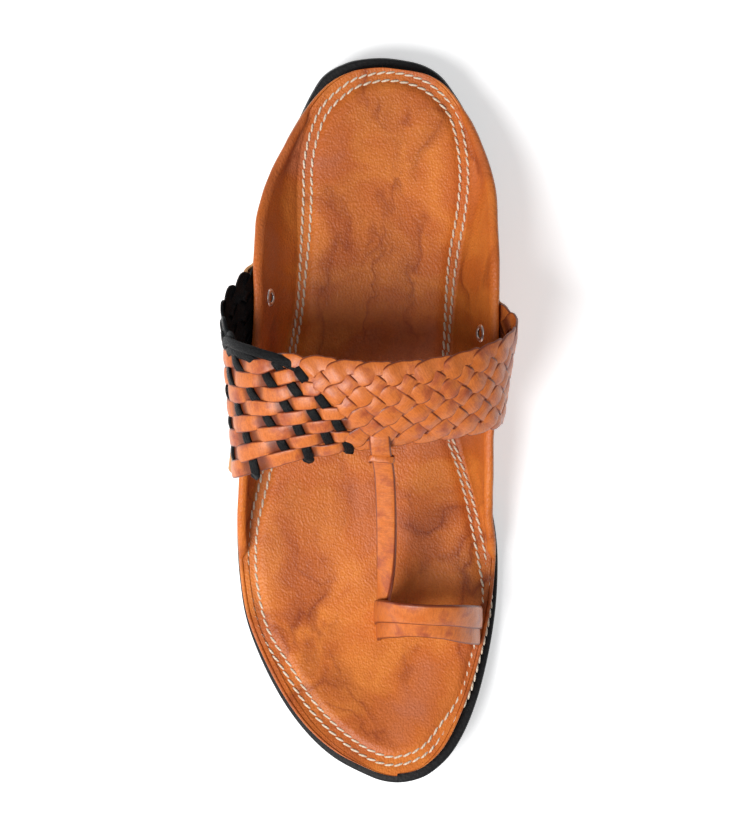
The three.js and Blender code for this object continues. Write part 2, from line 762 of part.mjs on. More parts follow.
function makeInstepStrap() {
  const points = instepStrapRows.map((row) => {
    const y = alongFoot(row.along);
    return new THREE.Vector3(row.across * ballWidth, y, soleTop(y) + row.up * instepHeight);
  });
  const axes = instepStrapRows.map((row) => {
    const roll = THREE.MathUtils.degToRad(row.roll);
    return new THREE.Vector3(Math.cos(roll), -Math.sin(roll), 0);
  });
  return makeStrap(points, axes, instepStrapWidth, instepStrapWall, 18);
}

function makeToeLoop() {
  const tilt = THREE.MathUtils.degToRad(toeLoopTilt);
  const points = toeLoopRows.map((row) => {
    const y = alongFoot(toeLoopAt + row.shift);
    return new THREE.Vector3(row.across * ballWidth, y, soleTop(y) + row.up * toeLoopHeight);
  });
  const axes = toeLoopRows.map((row) => {
    const lean = tilt * smooth(row.up);
    return new THREE.Vector3(0, Math.cos(lean), -Math.sin(lean));
  });
  return makeStrap(points, axes, toeLoopWidth, toeLoopWall, 18);
}

// Space of the footbed's floor and rim, which trims the feet of the toe straps
function makeFloorSpace() {
  const from = alongFoot(toeLoopAt - 0.08);
  const to = alongFoot(toeLoopAt + 0.08);
  const steps = 10;
  const half = ballWidth / 2;
  const rings = Array.from({ length: steps + 1 }, (_, i) => {
    const y = mix(from, to, i / steps);
    const floor = floorTop(y) + contactGap;
    const rim = soleTop(y) + rimHeight + contactGap;
    return [
      new THREE.Vector3(-half, y, rim),
      new THREE.Vector3(-half * 0.65, y, rim),
      new THREE.Vector3(-half * 0.4, y, floor),
      new THREE.Vector3(half, y, floor),
      new THREE.Vector3(half, y, -soleThickness),
      new THREE.Vector3(half * 0.4, y, -soleThickness),
      new THREE.Vector3(-half * 0.65, y, -soleThickness),
      new THREE.Vector3(-half, y, -soleThickness),
    ];
  });
  return loft(rings);
}

// Narrow slits where the strips stand apart, as [strip edge, distance along the band]
const slitPlaces = [
  [7, 0.10], [7, 0.27], [7, 0.44], [6, 0.18], [6, 0.36], [1, 0.30], [1, 0.55], [7, 0.62],
];
function makeSlits() {
  return slitPlaces.map(([strip, share]) => {
    const middle = share * plaitStart;
    const half = slitLength / 2;
    const spread = slitWidth / 2 / bandWidth;
    const edge = (distance, side) => stripEdge(distance, strip) + side * spread;
    const patch = [
      [middle - half, edge(middle - half, -1)],
      [middle - half, edge(middle - half, 1)],
      [middle + half, edge(middle + half, 1)],
      [middle + half, edge(middle + half, -1)],
    ];
    return bandPad(patch, strandRise + 1, 1, -halfBand - 1);
  });
}

// Rivet frame: the point on the facing's outer face and the way out from it
function rivetFrame({ side, at, up: upShare }) {
  const y = alongFoot(at);
  const height = upShare * facingHeight;
  const step = 2;
  const place = (dy, dh) => {
    const x = facingFace(side, y + dy, height + dh) + side * facingWall;
    return new THREE.Vector3(x, y + dy, soleTop(y + dy) + height + dh);
  };
  const along = place(step, 0).sub(place(-step, 0));
  const up = place(0, step).sub(place(0, -step));
  const out = along.cross(up).normalize();
  if (out.x * side < 0) out.negate();
  const depth = facingWall + facingGap + pocketDepth(side, y, height) + wingWall;
  return { point: place(0, 0), out, stack: depth * Math.abs(out.x) };
}

function placeOnAxis(profile, { point, out }) {
  const geometry = new THREE.LatheGeometry(profile.map(([r, z]) => new THREE.Vector2(r, z)), rivetSides);
  const turn = new THREE.Quaternion().setFromUnitVectors(new THREE.Vector3(0, 1, 0), out);
  geometry.applyQuaternion(turn).translate(point.x, point.y, point.z);
  return solidFromGeometry(geometry);
}

function makeRivet(place) {
  const frame = rivetFrame(place);
  const low = -frame.stack - rivetSeat;
  const high = rivetSeat;
  return placeOnAxis([
    [0, low - flangeHeight + eyeDepth],
    [eyeRadius, low - flangeHeight + eyeDepth],
    [eyeRadius, low - flangeHeight],
    [flangeRadius - flangeRound, low - flangeHeight],
    [flangeRadius, low],
    [shankRadius, low],
    [shankRadius, high],
    [capRadius, high],
    [capRadius, high + capHeight * 0.5],
    [capRadius - capRound, high + capHeight],
    [0, high + capHeight],
  ], frame);
}

function makeRivetHole(place) {
  const frame = rivetFrame(place);
  const radius = shankRadius + holeClearance;
  const low = -frame.stack - holeOvershoot;
  const high = holeOvershoot;
  return placeOnAxis([[0, low], [radius, low], [radius, high], [0, high]], frame);
}

// Fills the voids that crossing strips can enclose, and keeps every outer body
function withoutVoids(solid) {
  return wasm.Manifold.compose(solid.decompose().filter((piece) => piece.volume() > 0));
}

// The upper: band wall, raised strips, slits, instep strap and toe loop in one piece
function makeUpper() {
  const strips = makeStrips();
  const lightPlait = makePlait(
    plaitStart + plaitHalfStep + 2 * weaveGroove, (v) => bandCurve(v).exit, plaitRows,
    () => plaitInset, () => 1 - plaitInset,
  );
  const darkPlait = makePlait(
    plaitHalfStep, () => plaitStart - plaitHalfStep, darkPlaitRowCount, () => plaitInset,
    (distance) => darkShare(distance / plaitStart) - plaitInset,
  );
  const body = withoutVoids(wasm.Manifold.union([
    makeBandWall(), ...strips, ...lightPlait, ...darkPlait, makeInstepStrap(), makeToeLoop(),
  ]));
  const holes = rivetPlaces.map(makeRivetHole);
  return wasm.Manifold.difference([body, makeFloorSpace(), ...makeSlits(), ...holes]);
}

const holesOn = (side) => rivetPlaces.filter((place) => place.side === side).map(makeRivetHole);
const leather = (color) => new THREE.MeshStandardMaterial({ color, roughness: 0.5, metalness: 0 });
const rubber = new THREE.MeshStandardMaterial({ color: rubberBlack, roughness: 0.85, metalness: 0 });
const metal = () => new THREE.MeshStandardMaterial({ color: rivetSilver, roughness: 0.35, metalness: 1 });

const sandal = new THREE.Group();
sandal.add(namedMesh('outsole', makeOutsole(), rubber));
sandal.add(namedMesh('heel_lift', makeHeelLift(), rubber.clone()));
sandal.add(namedMesh(
  'footbed',
  wasm.Manifold.difference([makeFootbed(), ...rivetPlaces.map(makeRivetHole)]),
  leather(leatherTan),
));
sandal.add(namedMesh(
  'facing_lateral',
  wasm.Manifold.difference([makeFacing(LATERAL), ...holesOn(LATERAL)]),
  leather(leatherTanDark),
));
sandal.add(namedMesh(
  'facing_medial',
  wasm.Manifold.difference([makeFacing(MEDIAL), ...holesOn(MEDIAL)]),
  leather(leatherTanDark),
));
sandal.add(namedMesh('woven_upper', makeUpper(), leather(leatherTan)));
for (const place of rivetPlaces) {
  sandal.add(namedMesh(place.name, makeRivet(place), metal()));
}

export default sandal;
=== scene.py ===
import math

import bpy
import numpy as np
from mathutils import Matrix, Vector


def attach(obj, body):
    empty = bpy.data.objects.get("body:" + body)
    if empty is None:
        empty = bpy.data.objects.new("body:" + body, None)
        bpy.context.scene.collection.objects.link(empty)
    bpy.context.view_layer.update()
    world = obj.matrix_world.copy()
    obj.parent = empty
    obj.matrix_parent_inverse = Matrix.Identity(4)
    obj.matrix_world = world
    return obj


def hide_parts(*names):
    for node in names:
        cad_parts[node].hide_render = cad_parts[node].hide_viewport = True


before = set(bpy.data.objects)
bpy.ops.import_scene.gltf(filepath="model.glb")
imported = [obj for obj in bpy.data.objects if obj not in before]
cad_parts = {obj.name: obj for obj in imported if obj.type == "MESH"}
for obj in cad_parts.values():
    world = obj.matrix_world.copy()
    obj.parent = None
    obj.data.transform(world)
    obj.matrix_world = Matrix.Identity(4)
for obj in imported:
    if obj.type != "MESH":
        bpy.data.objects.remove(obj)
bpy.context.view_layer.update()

# All shapes are worked out in millimetres and written in metres.
MM = 0.001

# Sizes of the shoe, as in the CAD part
SHOE_LENGTH = 272.0
BALL_WIDTH = 98.0
HEEL_SETBACK = 32.0
INSTEP_HEIGHT = 76.0
SOLE_THICKNESS = 8.0
HEEL_LIFT = 6.0
HEEL_LENGTH = 70.0
HEEL_FLARE = 0.9
TOE_SPRING = 13.0
SOLE_MARGIN = 3.8
FLOOR_THICKNESS = 4.0
FLOOR_DISH = 0.8
WING_REVEAL = 3.4
WING_WALL = 2.0
BEAD_WIDTH = 1.7
FACING_HEIGHT = 27.4
FACING_WALL = 1.5
BAND_WALL = 1.8
TAB_DEPTH = 19.0
CONTACT_GAP = 0.3
FACING_GAP = 0.65
POCKET_GAP = 0.7
SHANK_END = 0.596
SPRING_START = 0.724
SPRING_POWER = 1.55
HEEL_TIP = -0.01
TOE_TIP = -0.071
ARCH_SPRING = 0.52
ARCH_RISE = (0.465, 0.43, 0.275)
REACH = ((0.592, 0.546), (0.520, 0.466))
LATERAL, MEDIAL = 1, -1

# Share of the length, then half widths of the sole as shares of the ball width
SOLE_ROWS = [
    (0.0037, 0.094, 0.102), (0.0081, 0.131, 0.155), (0.0147, 0.171, 0.196), (0.0257, 0.212, 0.237),
    (0.0419, 0.244, 0.274), (0.0713, 0.286, 0.325), (0.1174, 0.337, 0.378), (0.1730, 0.355, 0.401),
    (0.2276, 0.357, 0.393), (0.2832, 0.362, 0.367), (0.3378, 0.378, 0.347), (0.3934, 0.408, 0.337),
    (0.4490, 0.444, 0.337), (0.5046, 0.483, 0.352), (0.5592, 0.515, 0.388), (0.6138, 0.541, 0.429),
    (0.6694, 0.544, 0.454), (0.7240, 0.533, 0.456), (0.7756, 0.509, 0.444), (0.8342, 0.448, 0.415),
    (0.8938, 0.358, 0.370), (0.9373, 0.263, 0.318), (0.9666, 0.169, 0.263), (0.9889, 0.051, 0.189),
    (0.9970, -0.008, 0.133),
]
MARGIN_ROWS = [
    (0.000, 1.00, 1.00), (0.019, 0.95, 0.60), (0.045, 0.60, 0.20), (0.080, 0.30, 0.20),
    (0.120, 0.45, 0.45), (0.242, 0.64, 0.64), (0.494, 0.64, 0.64), (0.596, 0.35, 0.35),
    (0.656, 0.12, 0.15), (0.717, 0.12, 0.35), (0.778, 0.20, 0.60), (0.828, 0.32, 0.80),
    (0.919, 0.42, 1.05), (1.000, 0.70, 0.95),
]
# Share of the length, height of the facing, outward lean of the outer and the inner side
WING_ROWS = [
    (0.035, 0.020, 0.000, 0.000), (0.056, 0.080, 0.010, 0.010), (0.080, 0.150, 0.020, 0.020),
    (0.117, 0.240, 0.041, 0.035), (0.156, 0.380, 0.086, 0.057), (0.193, 0.550, 0.121, 0.076),
    (0.231, 0.730, 0.144, 0.090), (0.283, 0.910, 0.146, 0.121), (0.338, 0.960, 0.127, 0.140),
    (0.393, 1.000, 0.105, 0.150), (0.449, 0.940, 0.082, 0.145), (0.496, 0.840, 0.060, 0.125),
    (0.533, 0.745, 0.044, 0.095), (0.571, 0.650, 0.030, 0.062), (0.609, 0.510, 0.012, 0.024),
    (0.647, 0.354, 0.003, 0.000), (0.683, 0.165, 0.000, 0.000), (0.719, 0.020, 0.000, 0.000),
]
# Turn round the arch in degrees, then the band's rear and front edge
BAND_ROWS = [
    (-24, 0.297, 0.566), (0, 0.343, 0.577), (20, 0.387, 0.575), (40, 0.403, 0.566), (60, 0.414, 0.553),
    (80, 0.426, 0.540), (100, 0.429, 0.531), (120, 0.422, 0.524), (140, 0.408, 0.515), (160, 0.391, 0.506),
    (180, 0.371, 0.499), (204, 0.349, 0.496),
]


def column_curve(rows, column):
    """A smooth curve through one column of a table against its first column."""
    knots = np.array([row[0] for row in rows], float)
    values = np.array([row[column] for row in rows], float)
    steps = np.diff(values) / np.diff(knots)
    both = steps[:-1] * steps[1:]
    total = np.where(both > 0, steps[:-1] + steps[1:], 1)
    slopes = np.zeros_like(values)
    slopes[1:-1] = np.where(both > 0, 2 * both / total, 0)

    def at(x):
        x = np.clip(np.asarray(x, float), knots[0], knots[-1])
        i = np.clip(np.searchsorted(knots, x) - 1, 0, len(knots) - 2)
        span = knots[i + 1] - knots[i]
        t = (x - knots[i]) / span
        rise = values[i + 1] - values[i]
        bend = slopes[i] * span * t * (1 - t) ** 2 - slopes[i + 1] * span * t * t * (1 - t)
        return values[i] + rise * t * t * (3 - 2 * t) + bend

    return at


def smooth(x):
    x = np.clip(x, 0, 1)
    return x * x * (3 - 2 * x)


def mix(a, b, t):
    return a + (b - a) * t


def unit(v):
    return v / np.maximum(np.linalg.norm(v, axis=-1, keepdims=True), 1e-12)


def run_along(points):
    """Length of a line from its first point to each point."""
    return np.concatenate([[0], np.cumsum(np.linalg.norm(np.diff(points, axis=0), axis=1))])


def way_in(loop):
    """Unit vectors that point into a closed loop from its points."""
    ahead = np.roll(loop, -1, 0) - np.roll(loop, 1, 0)
    return unit(np.stack([-ahead[:, 1], ahead[:, 0]], 1))


# Places in the length table of a curve, for each stretch between two points
SPLINE_STEPS = 40


class Spline:
    """Centripetal Catmull-Rom curve, as three.js draws it, with a table of its length."""

    def __init__(self, points, closed=False):
        p = np.array(points, float)
        if closed:
            p = np.vstack([p[-1:], p, p[:2]])
        else:
            p = np.vstack([2 * p[0] - p[1], p, 2 * p[-1] - p[-2]])
        d = np.sqrt(np.maximum(np.linalg.norm(np.diff(p, axis=0), axis=1), 1e-9))[:, None]
        a, b, c, e = p[:-3], p[1:-2], p[2:-1], p[3:]
        d0, d1, d2 = d[:-2], d[1:-1], d[2:]
        t1 = ((b - a) / d0 - (c - a) / (d0 + d1) + (c - b) / d1) * d1
        t2 = ((c - b) / d1 - (e - b) / (d1 + d2) + (e - c) / d2) * d1
        self.k = (b, t1, -3 * b + 3 * c - 2 * t1 - t2, 2 * b - 2 * c + t1 + t2)
        self.count = len(b)
        self.u = np.linspace(0, self.count, self.count * SPLINE_STEPS + 1)
        self.lengths = run_along(self.at(self.u))

    def at(self, u):
        u = np.clip(np.asarray(u, float), 0, self.count)
        i = np.minimum(u.astype(int), self.count - 1)
        t = (u - i)[..., None]
        k0, k1, k2, k3 = (k[i] for k in self.k)
        return k0 + t * (k1 + t * (k2 + t * k3))

    def at_length(self, length):
        return self.at(np.interp(length, self.lengths, self.u))

    def spaced(self, count):
        return self.at_length(np.linspace(0, self.lengths[-1], count))


# Outline of the sole from above
def along(share):
    return share * SHOE_LENGTH - HEEL_SETBACK


def share_at(y):
    return (np.asarray(y) + HEEL_SETBACK) / SHOE_LENGTH


outline_points = (
    [(HEEL_TIP * BALL_WIDTH, along(0))]
    + [(lateral * BALL_WIDTH, along(at)) for at, lateral, _ in SOLE_ROWS]
    + [(TOE_TIP * BALL_WIDTH, along(1))]
    + [(-medial * BALL_WIDTH, along(at)) for at, _, medial in reversed(SOLE_ROWS)]
)
SOLE_LOOP = Spline(outline_points, closed=True).spaced(1801)[:-1]


class Edges:
    """Left and right edge of a loop at any place along the foot."""

    def __init__(self, loop):
        heel, toe = loop[:, 1].argmin(), loop[:, 1].argmax()
        turned = np.roll(loop, -heel, 0)
        turned = np.vstack([turned, turned[:1]])
        toe = (toe - heel) % len(loop)
        self.start, self.end = turned[0, 1], turned[toe, 1]
        self.chains = {LATERAL: turned[: toe + 1], MEDIAL: turned[toe:][::-1]}

    def edge(self, side, y):
        chain = self.chains[side]
        return np.interp(y, chain[:, 1], chain[:, 0])


loop_share = share_at(SOLE_LOOP[:, 1])
on_lateral = SOLE_LOOP[:, 0] > TOE_TIP * BALL_WIDTH
margins = [column_curve(MARGIN_ROWS, column)(loop_share) for column in (1, 2)]
margin = np.where(on_lateral, *margins) * SOLE_MARGIN
sole_edges = Edges(SOLE_LOOP)
bed_edges = Edges(SOLE_LOOP + way_in(SOLE_LOOP) * margin[:, None])


def sole_bottom(y):
    share = share_at(y)
    heel = HEEL_LENGTH / SHOE_LENGTH
    spring = np.clip((share - SPRING_START) / (1 - SPRING_START), 0, 1)
    return HEEL_LIFT * (1 - smooth((share - heel) / (SHANK_END - heel))) + TOE_SPRING * spring**SPRING_POWER


def sole_top(y):
    return sole_bottom(y) + SOLE_THICKNESS


facing_share = column_curve(WING_ROWS, 1)
lean_share = {LATERAL: column_curve(WING_ROWS, 2), MEDIAL: column_curve(WING_ROWS, 3)}
RIM = FLOOR_THICKNESS + CONTACT_GAP + FLOOR_DISH / 2


def facing_top(y):
    return facing_share(share_at(y)) * FACING_HEIGHT


def wing_top(y):
    reveal = WING_REVEAL * smooth(facing_top(y) / (2 * WING_REVEAL))
    return np.maximum(RIM, facing_top(y) + reveal)


def wing_face(side, y, height):
    lean = lean_share[side](share_at(y)) * BALL_WIDTH
    rise = np.maximum(0, height) / np.maximum(wing_top(y), 2 * RIM)
    return bed_edges.edge(side, y) + side * lean * rise


POCKETS = {LATERAL: BAND_ROWS[0], MEDIAL: BAND_ROWS[-1]}
POCKET_RAMP = 0.014
TAB_LOW = FACING_HEIGHT - TAB_DEPTH


def pocket_depth(side, y, height):
    _, rear, front = POCKETS[side]
    share = share_at(y)
    behind = (share - rear) / POCKET_RAMP + 1
    ahead = (front - share) / POCKET_RAMP + 1
    opened = smooth(behind) * smooth(ahead) * smooth(height / (TAB_LOW - 1))
    return opened * (BAND_WALL + 2 * POCKET_GAP - FACING_GAP)


def facing_face(side, y, height):
    return wing_face(side, y, height) + side * (FACING_GAP + pocket_depth(side, y, height))


# The band's middle surface as a grid over distance s from the outer wing and share v of its width
rear_share, front_share = column_curve(BAND_ROWS, 1), column_curve(BAND_ROWS, 2)
ARCH_Z = ARCH_SPRING * INSTEP_HEIGHT
# Rows 5 and 55 of the grid are the rear and the front edge
GRID_V = np.linspace(-0.10, 1.10, 61)
REAR_ROW, FRONT_ROW = 5, 55
GRID_STEP = 0.5
GRID_S = np.arange(-24, 190, GRID_STEP)


def band_share(turn, v):
    return mix(rear_share(turn), front_share(turn), v)


def band_on_wing(side, v, height):
    y = along(band_share(BAND_ROWS[0 if side == LATERAL else -1][0], v))
    x = wing_face(side, y, height) + side * (POCKET_GAP + BAND_WALL / 2)
    return np.array([float(x), float(y), float(sole_top(y) + height)])


def band_on_arch(turn, v):
    y = along(band_share(turn, v))
    angle = math.radians(turn)
    bow = 4 * v * (1 - v)
    rise = mix(ARCH_RISE[0], ARCH_RISE[2], v) + bow * (ARCH_RISE[1] - (ARCH_RISE[0] + ARCH_RISE[2]) / 2)
    lateral, medial = (mix(*reach, v) * BALL_WIDTH for reach in REACH)
    x = (lateral - medial) / 2 + (lateral + medial) / 2 * math.cos(angle)
    return np.array([x, float(y), float(sole_top(y) + ARCH_Z + rise * INSTEP_HEIGHT * math.sin(angle))])


def band_line(v):
    tops = [float(wing_top(along(band_share(BAND_ROWS[i][0], v)))) for i in (0, -1)]
    heights = [[TAB_LOW, mix(TAB_LOW, top, 0.5), top - WING_REVEAL / 2] for top in tops]
    points = [band_on_wing(LATERAL, v, h) for h in heights[0]]
    points += [band_on_arch(row[0], v) for row in BAND_ROWS[1:-1]]
    points += [band_on_wing(MEDIAL, v, h) for h in reversed(heights[1])]
    line = Spline(points)
    entry = line.lengths[2 * SPLINE_STEPS]
    exit_at = line.lengths[(len(points) - 3) * SPLINE_STEPS] - entry
    return line.at_length(entry + GRID_S), exit_at


lines = [band_line(v) for v in GRID_V]
GRID = np.array([line for line, _ in lines])
BAND_EXIT = np.interp(0.5, GRID_V, [e for _, e in lines])
ds = np.gradient(GRID, axis=1)
dv = np.gradient(GRID, axis=0)
GRID_N = unit(np.cross(ds, dv))
outward = GRID - np.array([0, 0, ARCH_Z])
outward[..., 1] = 0
GRID_N *= np.sign(np.sum(GRID_N * outward, -1, keepdims=True))
WIDTHS = np.linalg.norm(GRID[FRONT_ROW] - GRID[REAR_ROW], axis=-1)


def band_width(s):
    return np.interp(s, GRID_S, WIDTHS)


def band(s, v):
    """Point and outward normal on the band's middle surface."""
    fs = np.clip((np.asarray(s, float) - GRID_S[0]) / GRID_STEP, 0, len(GRID_S) - 1.001)
    fv = np.clip((np.asarray(v, float) - GRID_V[0]) / (GRID_V[1] - GRID_V[0]), 0, len(GRID_V) - 1.001)
    i, j = fv.astype(int), fs.astype(int)
    a, b = (fv - i)[..., None], (fs - j)[..., None]

    def pick(g):
        rear = g[i, j] * (1 - b) + g[i, j + 1] * b
        front = g[i + 1, j] * (1 - b) + g[i + 1, j + 1] * b
        return rear * (1 - a) + front * a

    return pick(GRID), unit(pick(GRID_N))


# Meshes
def new_object(name, data):
    made = bpy.data.objects.new(name, data)
    bpy.context.scene.collection.objects.link(made)
    return made


def piece(name, parts, material, slot, replaces=(), sharp=40, second=None):
    """One object from parts of (vertices in mm, faces, values), riding on the root body; marked faces
    take the second material."""
    corners, faces, marks, values, start = [], [], [], {}, 0
    for part in parts:
        vertices, part_faces, extra = (*part, {})[:3]
        corners.append(np.asarray(vertices, float).reshape(-1, 3) * MM)
        faces += [tuple(int(k) + start for k in face) for face in part_faces]
        marks += [int(k) for k in extra.get("mark", np.zeros(len(part_faces)))]
        count = len(corners[-1])
        for key in ("dive", "tone", "run", "side", "rim"):
            values.setdefault(key, []).append(spread(extra.get(key, 0.0), count))
        start += count
    mesh = bpy.data.meshes.new(name)
    mesh.from_pydata(np.vstack(corners).tolist(), [], faces)
    mesh.validate()
    for key, given in values.items():
        flat = np.concatenate(given)
        if np.any(flat != 0):
            mesh.attributes.new(key, "FLOAT", "POINT").data.foreach_set("value", flat.astype(np.float32))
    mesh.polygons.foreach_set("use_smooth", [True] * len(mesh.polygons))
    mesh.set_sharp_from_angle(angle=math.radians(sharp))
    mesh.materials.append(material)
    if second:
        mesh.materials.append(second)
        if len(marks) == len(mesh.polygons):
            mesh.polygons.foreach_set("material_index", marks)
    obj = new_object(name, mesh)
    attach(obj, "root")
    if replaces:
        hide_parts(*replaces)


def wall_faces(rows, columns, flip=False):
    """Quads between rings of points, each ring closed on itself."""
    row, column = np.meshgrid(np.arange(rows - 1), np.arange(columns), indexing="ij")
    here, after = row * columns, (column + 1) % columns
    quads = np.stack([here + column, here + after, here + columns + after, here + columns + column], -1)
    quads = quads.reshape(-1, 4)
    return [tuple(quad) for quad in (quads[:, ::-1] if flip else quads)]


def tube(rings, flip=False):
    """Closed solid through rings of points, with flat ends."""
    rings = np.asarray(rings, float)
    rows, columns = rings.shape[:2]
    faces = wall_faces(rows, columns, flip)
    first = tuple(range(columns))
    last = tuple(range((rows - 1) * columns, rows * columns))
    faces += [first if flip else first[::-1], last[::-1] if flip else last]
    return rings.reshape(-1, 3), faces


def spread(value, count):
    return np.broadcast_to(np.asarray(value, float), (count,))


# Section of a strip: places across its half width and half thickness
STRIP_X = np.array([-1, -0.96, -0.8, -0.45, 0, 0.45, 0.8, 0.96, 1, 0.95, 0.5, -0.5, -0.95])
STRIP_Z = np.array([0.2, 0.72, 0.96, 1, 1, 1, 0.96, 0.72, 0.2, -0.9, -1, -1, -0.9])


def ribbon(points, normals, width, thick, crown=0.3, dive=0.0, tone=0.0):
    """A leather strip along points, lying square to the normals."""
    points = np.asarray(points, float)
    n = len(points)
    ahead = unit(np.gradient(points, axis=0))
    side = unit(np.cross(normals, ahead))
    up = unit(np.cross(ahead, side))
    half, tall = spread(width, n)[:, None, None] / 2, spread(thick, n)[:, None, None] / 2
    x, z = STRIP_X[None, :, None], STRIP_Z[None, :, None]
    bowed = spread(crown, n)[:, None, None]
    rings = points[:, None] + side[:, None] * x * half + up[:, None] * (z * tall - bowed * x * x)
    vertices, faces = tube(rings)
    run = run_along(points)
    m = len(STRIP_X)
    # The dive and edge values mark painted shade at dives and along the strip's edges
    extra = {
        "run": np.repeat(run, m) + 37 * tone,
        "side": np.tile(STRIP_X, n) * np.repeat(half[:, 0, 0], m),
        "dive": np.repeat(spread(dive, n), m),
        "tone": np.full(n * m, tone),
        "rim": np.tile(np.abs(STRIP_X), n),
    }
    return vertices, faces, extra


def band_ribbon(s, v, lift, width, thick, **more):
    points, normals = band(s, v)
    points = points + normals * np.asarray(lift, float)[:, None]
    return ribbon(points, normals, width, thick, **more)


def resample(path, step):
    """Even points along a path of any number of columns; the first two are in mm."""
    path = np.asarray(path, float)
    line = Spline(path)
    flat = line.at(line.u)
    run = run_along(flat[:, :2])
    wanted = np.linspace(0, run[-1], max(4, int(run[-1] / step)))
    return np.stack([np.interp(wanted, run, flat[:, k]) for k in range(flat.shape[1])], 1)


# Materials
class Graph:
    """Short calls for making nodes of one material."""

    def __init__(self, name):
        self.material = bpy.data.materials.new(name)
        self.material.use_nodes = True
        self.nodes, self.links = self.material.node_tree.nodes, self.material.node_tree.links
        self.shader = self.nodes["Principled BSDF"]

    def node(self, kind, settings=None, **inputs):
        made = self.nodes.new(kind)
        for key, value in (settings or {}).items():
            setattr(made, key, value)
        return self.fill(made, inputs)

    def fill(self, node, inputs):
        """Inputs are named, with _ for a space, or numbered as i0, i1 and so on."""
        for key, value in inputs.items():
            numbered = key[0] == "i" and key[1:].isdigit()
            self.put(node.inputs[int(key[1:]) if numbered else key.replace("_", " ")], value)
        return node

    def put(self, socket, value):
        if isinstance(value, bpy.types.NodeSocket):
            self.links.new(value, socket)
        else:
            socket.default_value = value

    def place(self, scale=1000.0, stretch=(1, 1, 1)):
        coordinates = self.node("ShaderNodeTexCoord").outputs["Object"]
        return self.mapped(coordinates, Scale=tuple(scale * k for k in stretch))

    def mapped(self, vector, **how):
        return self.node("ShaderNodeMapping", Vector=vector, **how).outputs[0]

    def local(self, level=0.0):
        """Coordinates along and across a strip."""
        run, side = self.value("run"), self.value("side")
        return self.node("ShaderNodeCombineXYZ", X=run, Y=side, Z=level).outputs[0]

    def value(self, name):
        return self.node("ShaderNodeAttribute", {"attribute_name": name}).outputs["Fac"]

    def math(self, kind, a, b=0.0, clamp=False):
        return self.node("ShaderNodeMath", {"operation": kind, "use_clamp": clamp}, i0=a, i1=b).outputs[0]

    def linear(self, value, factor, offset):
        return self.math("ADD", self.math("MULTIPLY", value, factor), offset)

    def noise(self, vector, scale, detail=3.0, rough=0.5, bent=0.0, colour=False):
        made = self.node(
            "ShaderNodeTexNoise",
            Vector=vector, Scale=scale, Detail=detail, Roughness=rough, Distortion=bent,
        )
        return made.outputs["Color" if colour else "Fac"]

    def ramp(self, value, stops):
        made = self.node("ShaderNodeValToRGB", Fac=value)
        ramp = made.color_ramp
        while len(ramp.elements) < len(stops):
            ramp.elements.new(0.5)
        for element, (at, colour) in zip(ramp.elements, stops):
            element.position = at
            element.color = (*colour, 1) if isinstance(colour, tuple) else (colour, colour, colour, 1)
        return made.outputs["Color"]

    def blend(self, fac, a, b, kind="MIX"):
        made = self.node("ShaderNodeMix", {"data_type": "RGBA", "blend_type": kind})
        for socket, value in ((made.inputs[0], fac), (made.inputs[6], a), (made.inputs[7], b)):
            self.put(socket, (*value, 1) if isinstance(value, tuple) and len(value) == 3 else value)
        return made.outputs[2]

    def bump(self, height, distance, strength):
        made = self.node("ShaderNodeBump", Height=height, Distance=distance, Strength=strength)
        return made.outputs[0]

    def finish(self, colour, rough, **inputs):
        self.fill(self.shader, {"Base_Color": colour, "Roughness": rough, **inputs})
        return self.material


# Linear colours
TAN = (0.55, 0.135, 0.020)
TAN_LIGHT = (0.66, 0.195, 0.030)
TAN_DEEP = (0.20, 0.028, 0.006)
TAN_PINK = (0.50, 0.140, 0.050)
STRIP_DARK = (0.28, 0.050, 0.014)
STRIP_RED = (0.43, 0.100, 0.030)
STRIP_LIGHT = (0.60, 0.165, 0.032)
# The next two colours are painted shade: along strip edges and where strips dive under others
STRIP_EDGE_SHADE = (0.14, 0.020, 0.005)
STRIP_DIVE_SHADE = (0.10, 0.014, 0.003)
RAW_EDGE = (0.66, 0.36, 0.16)


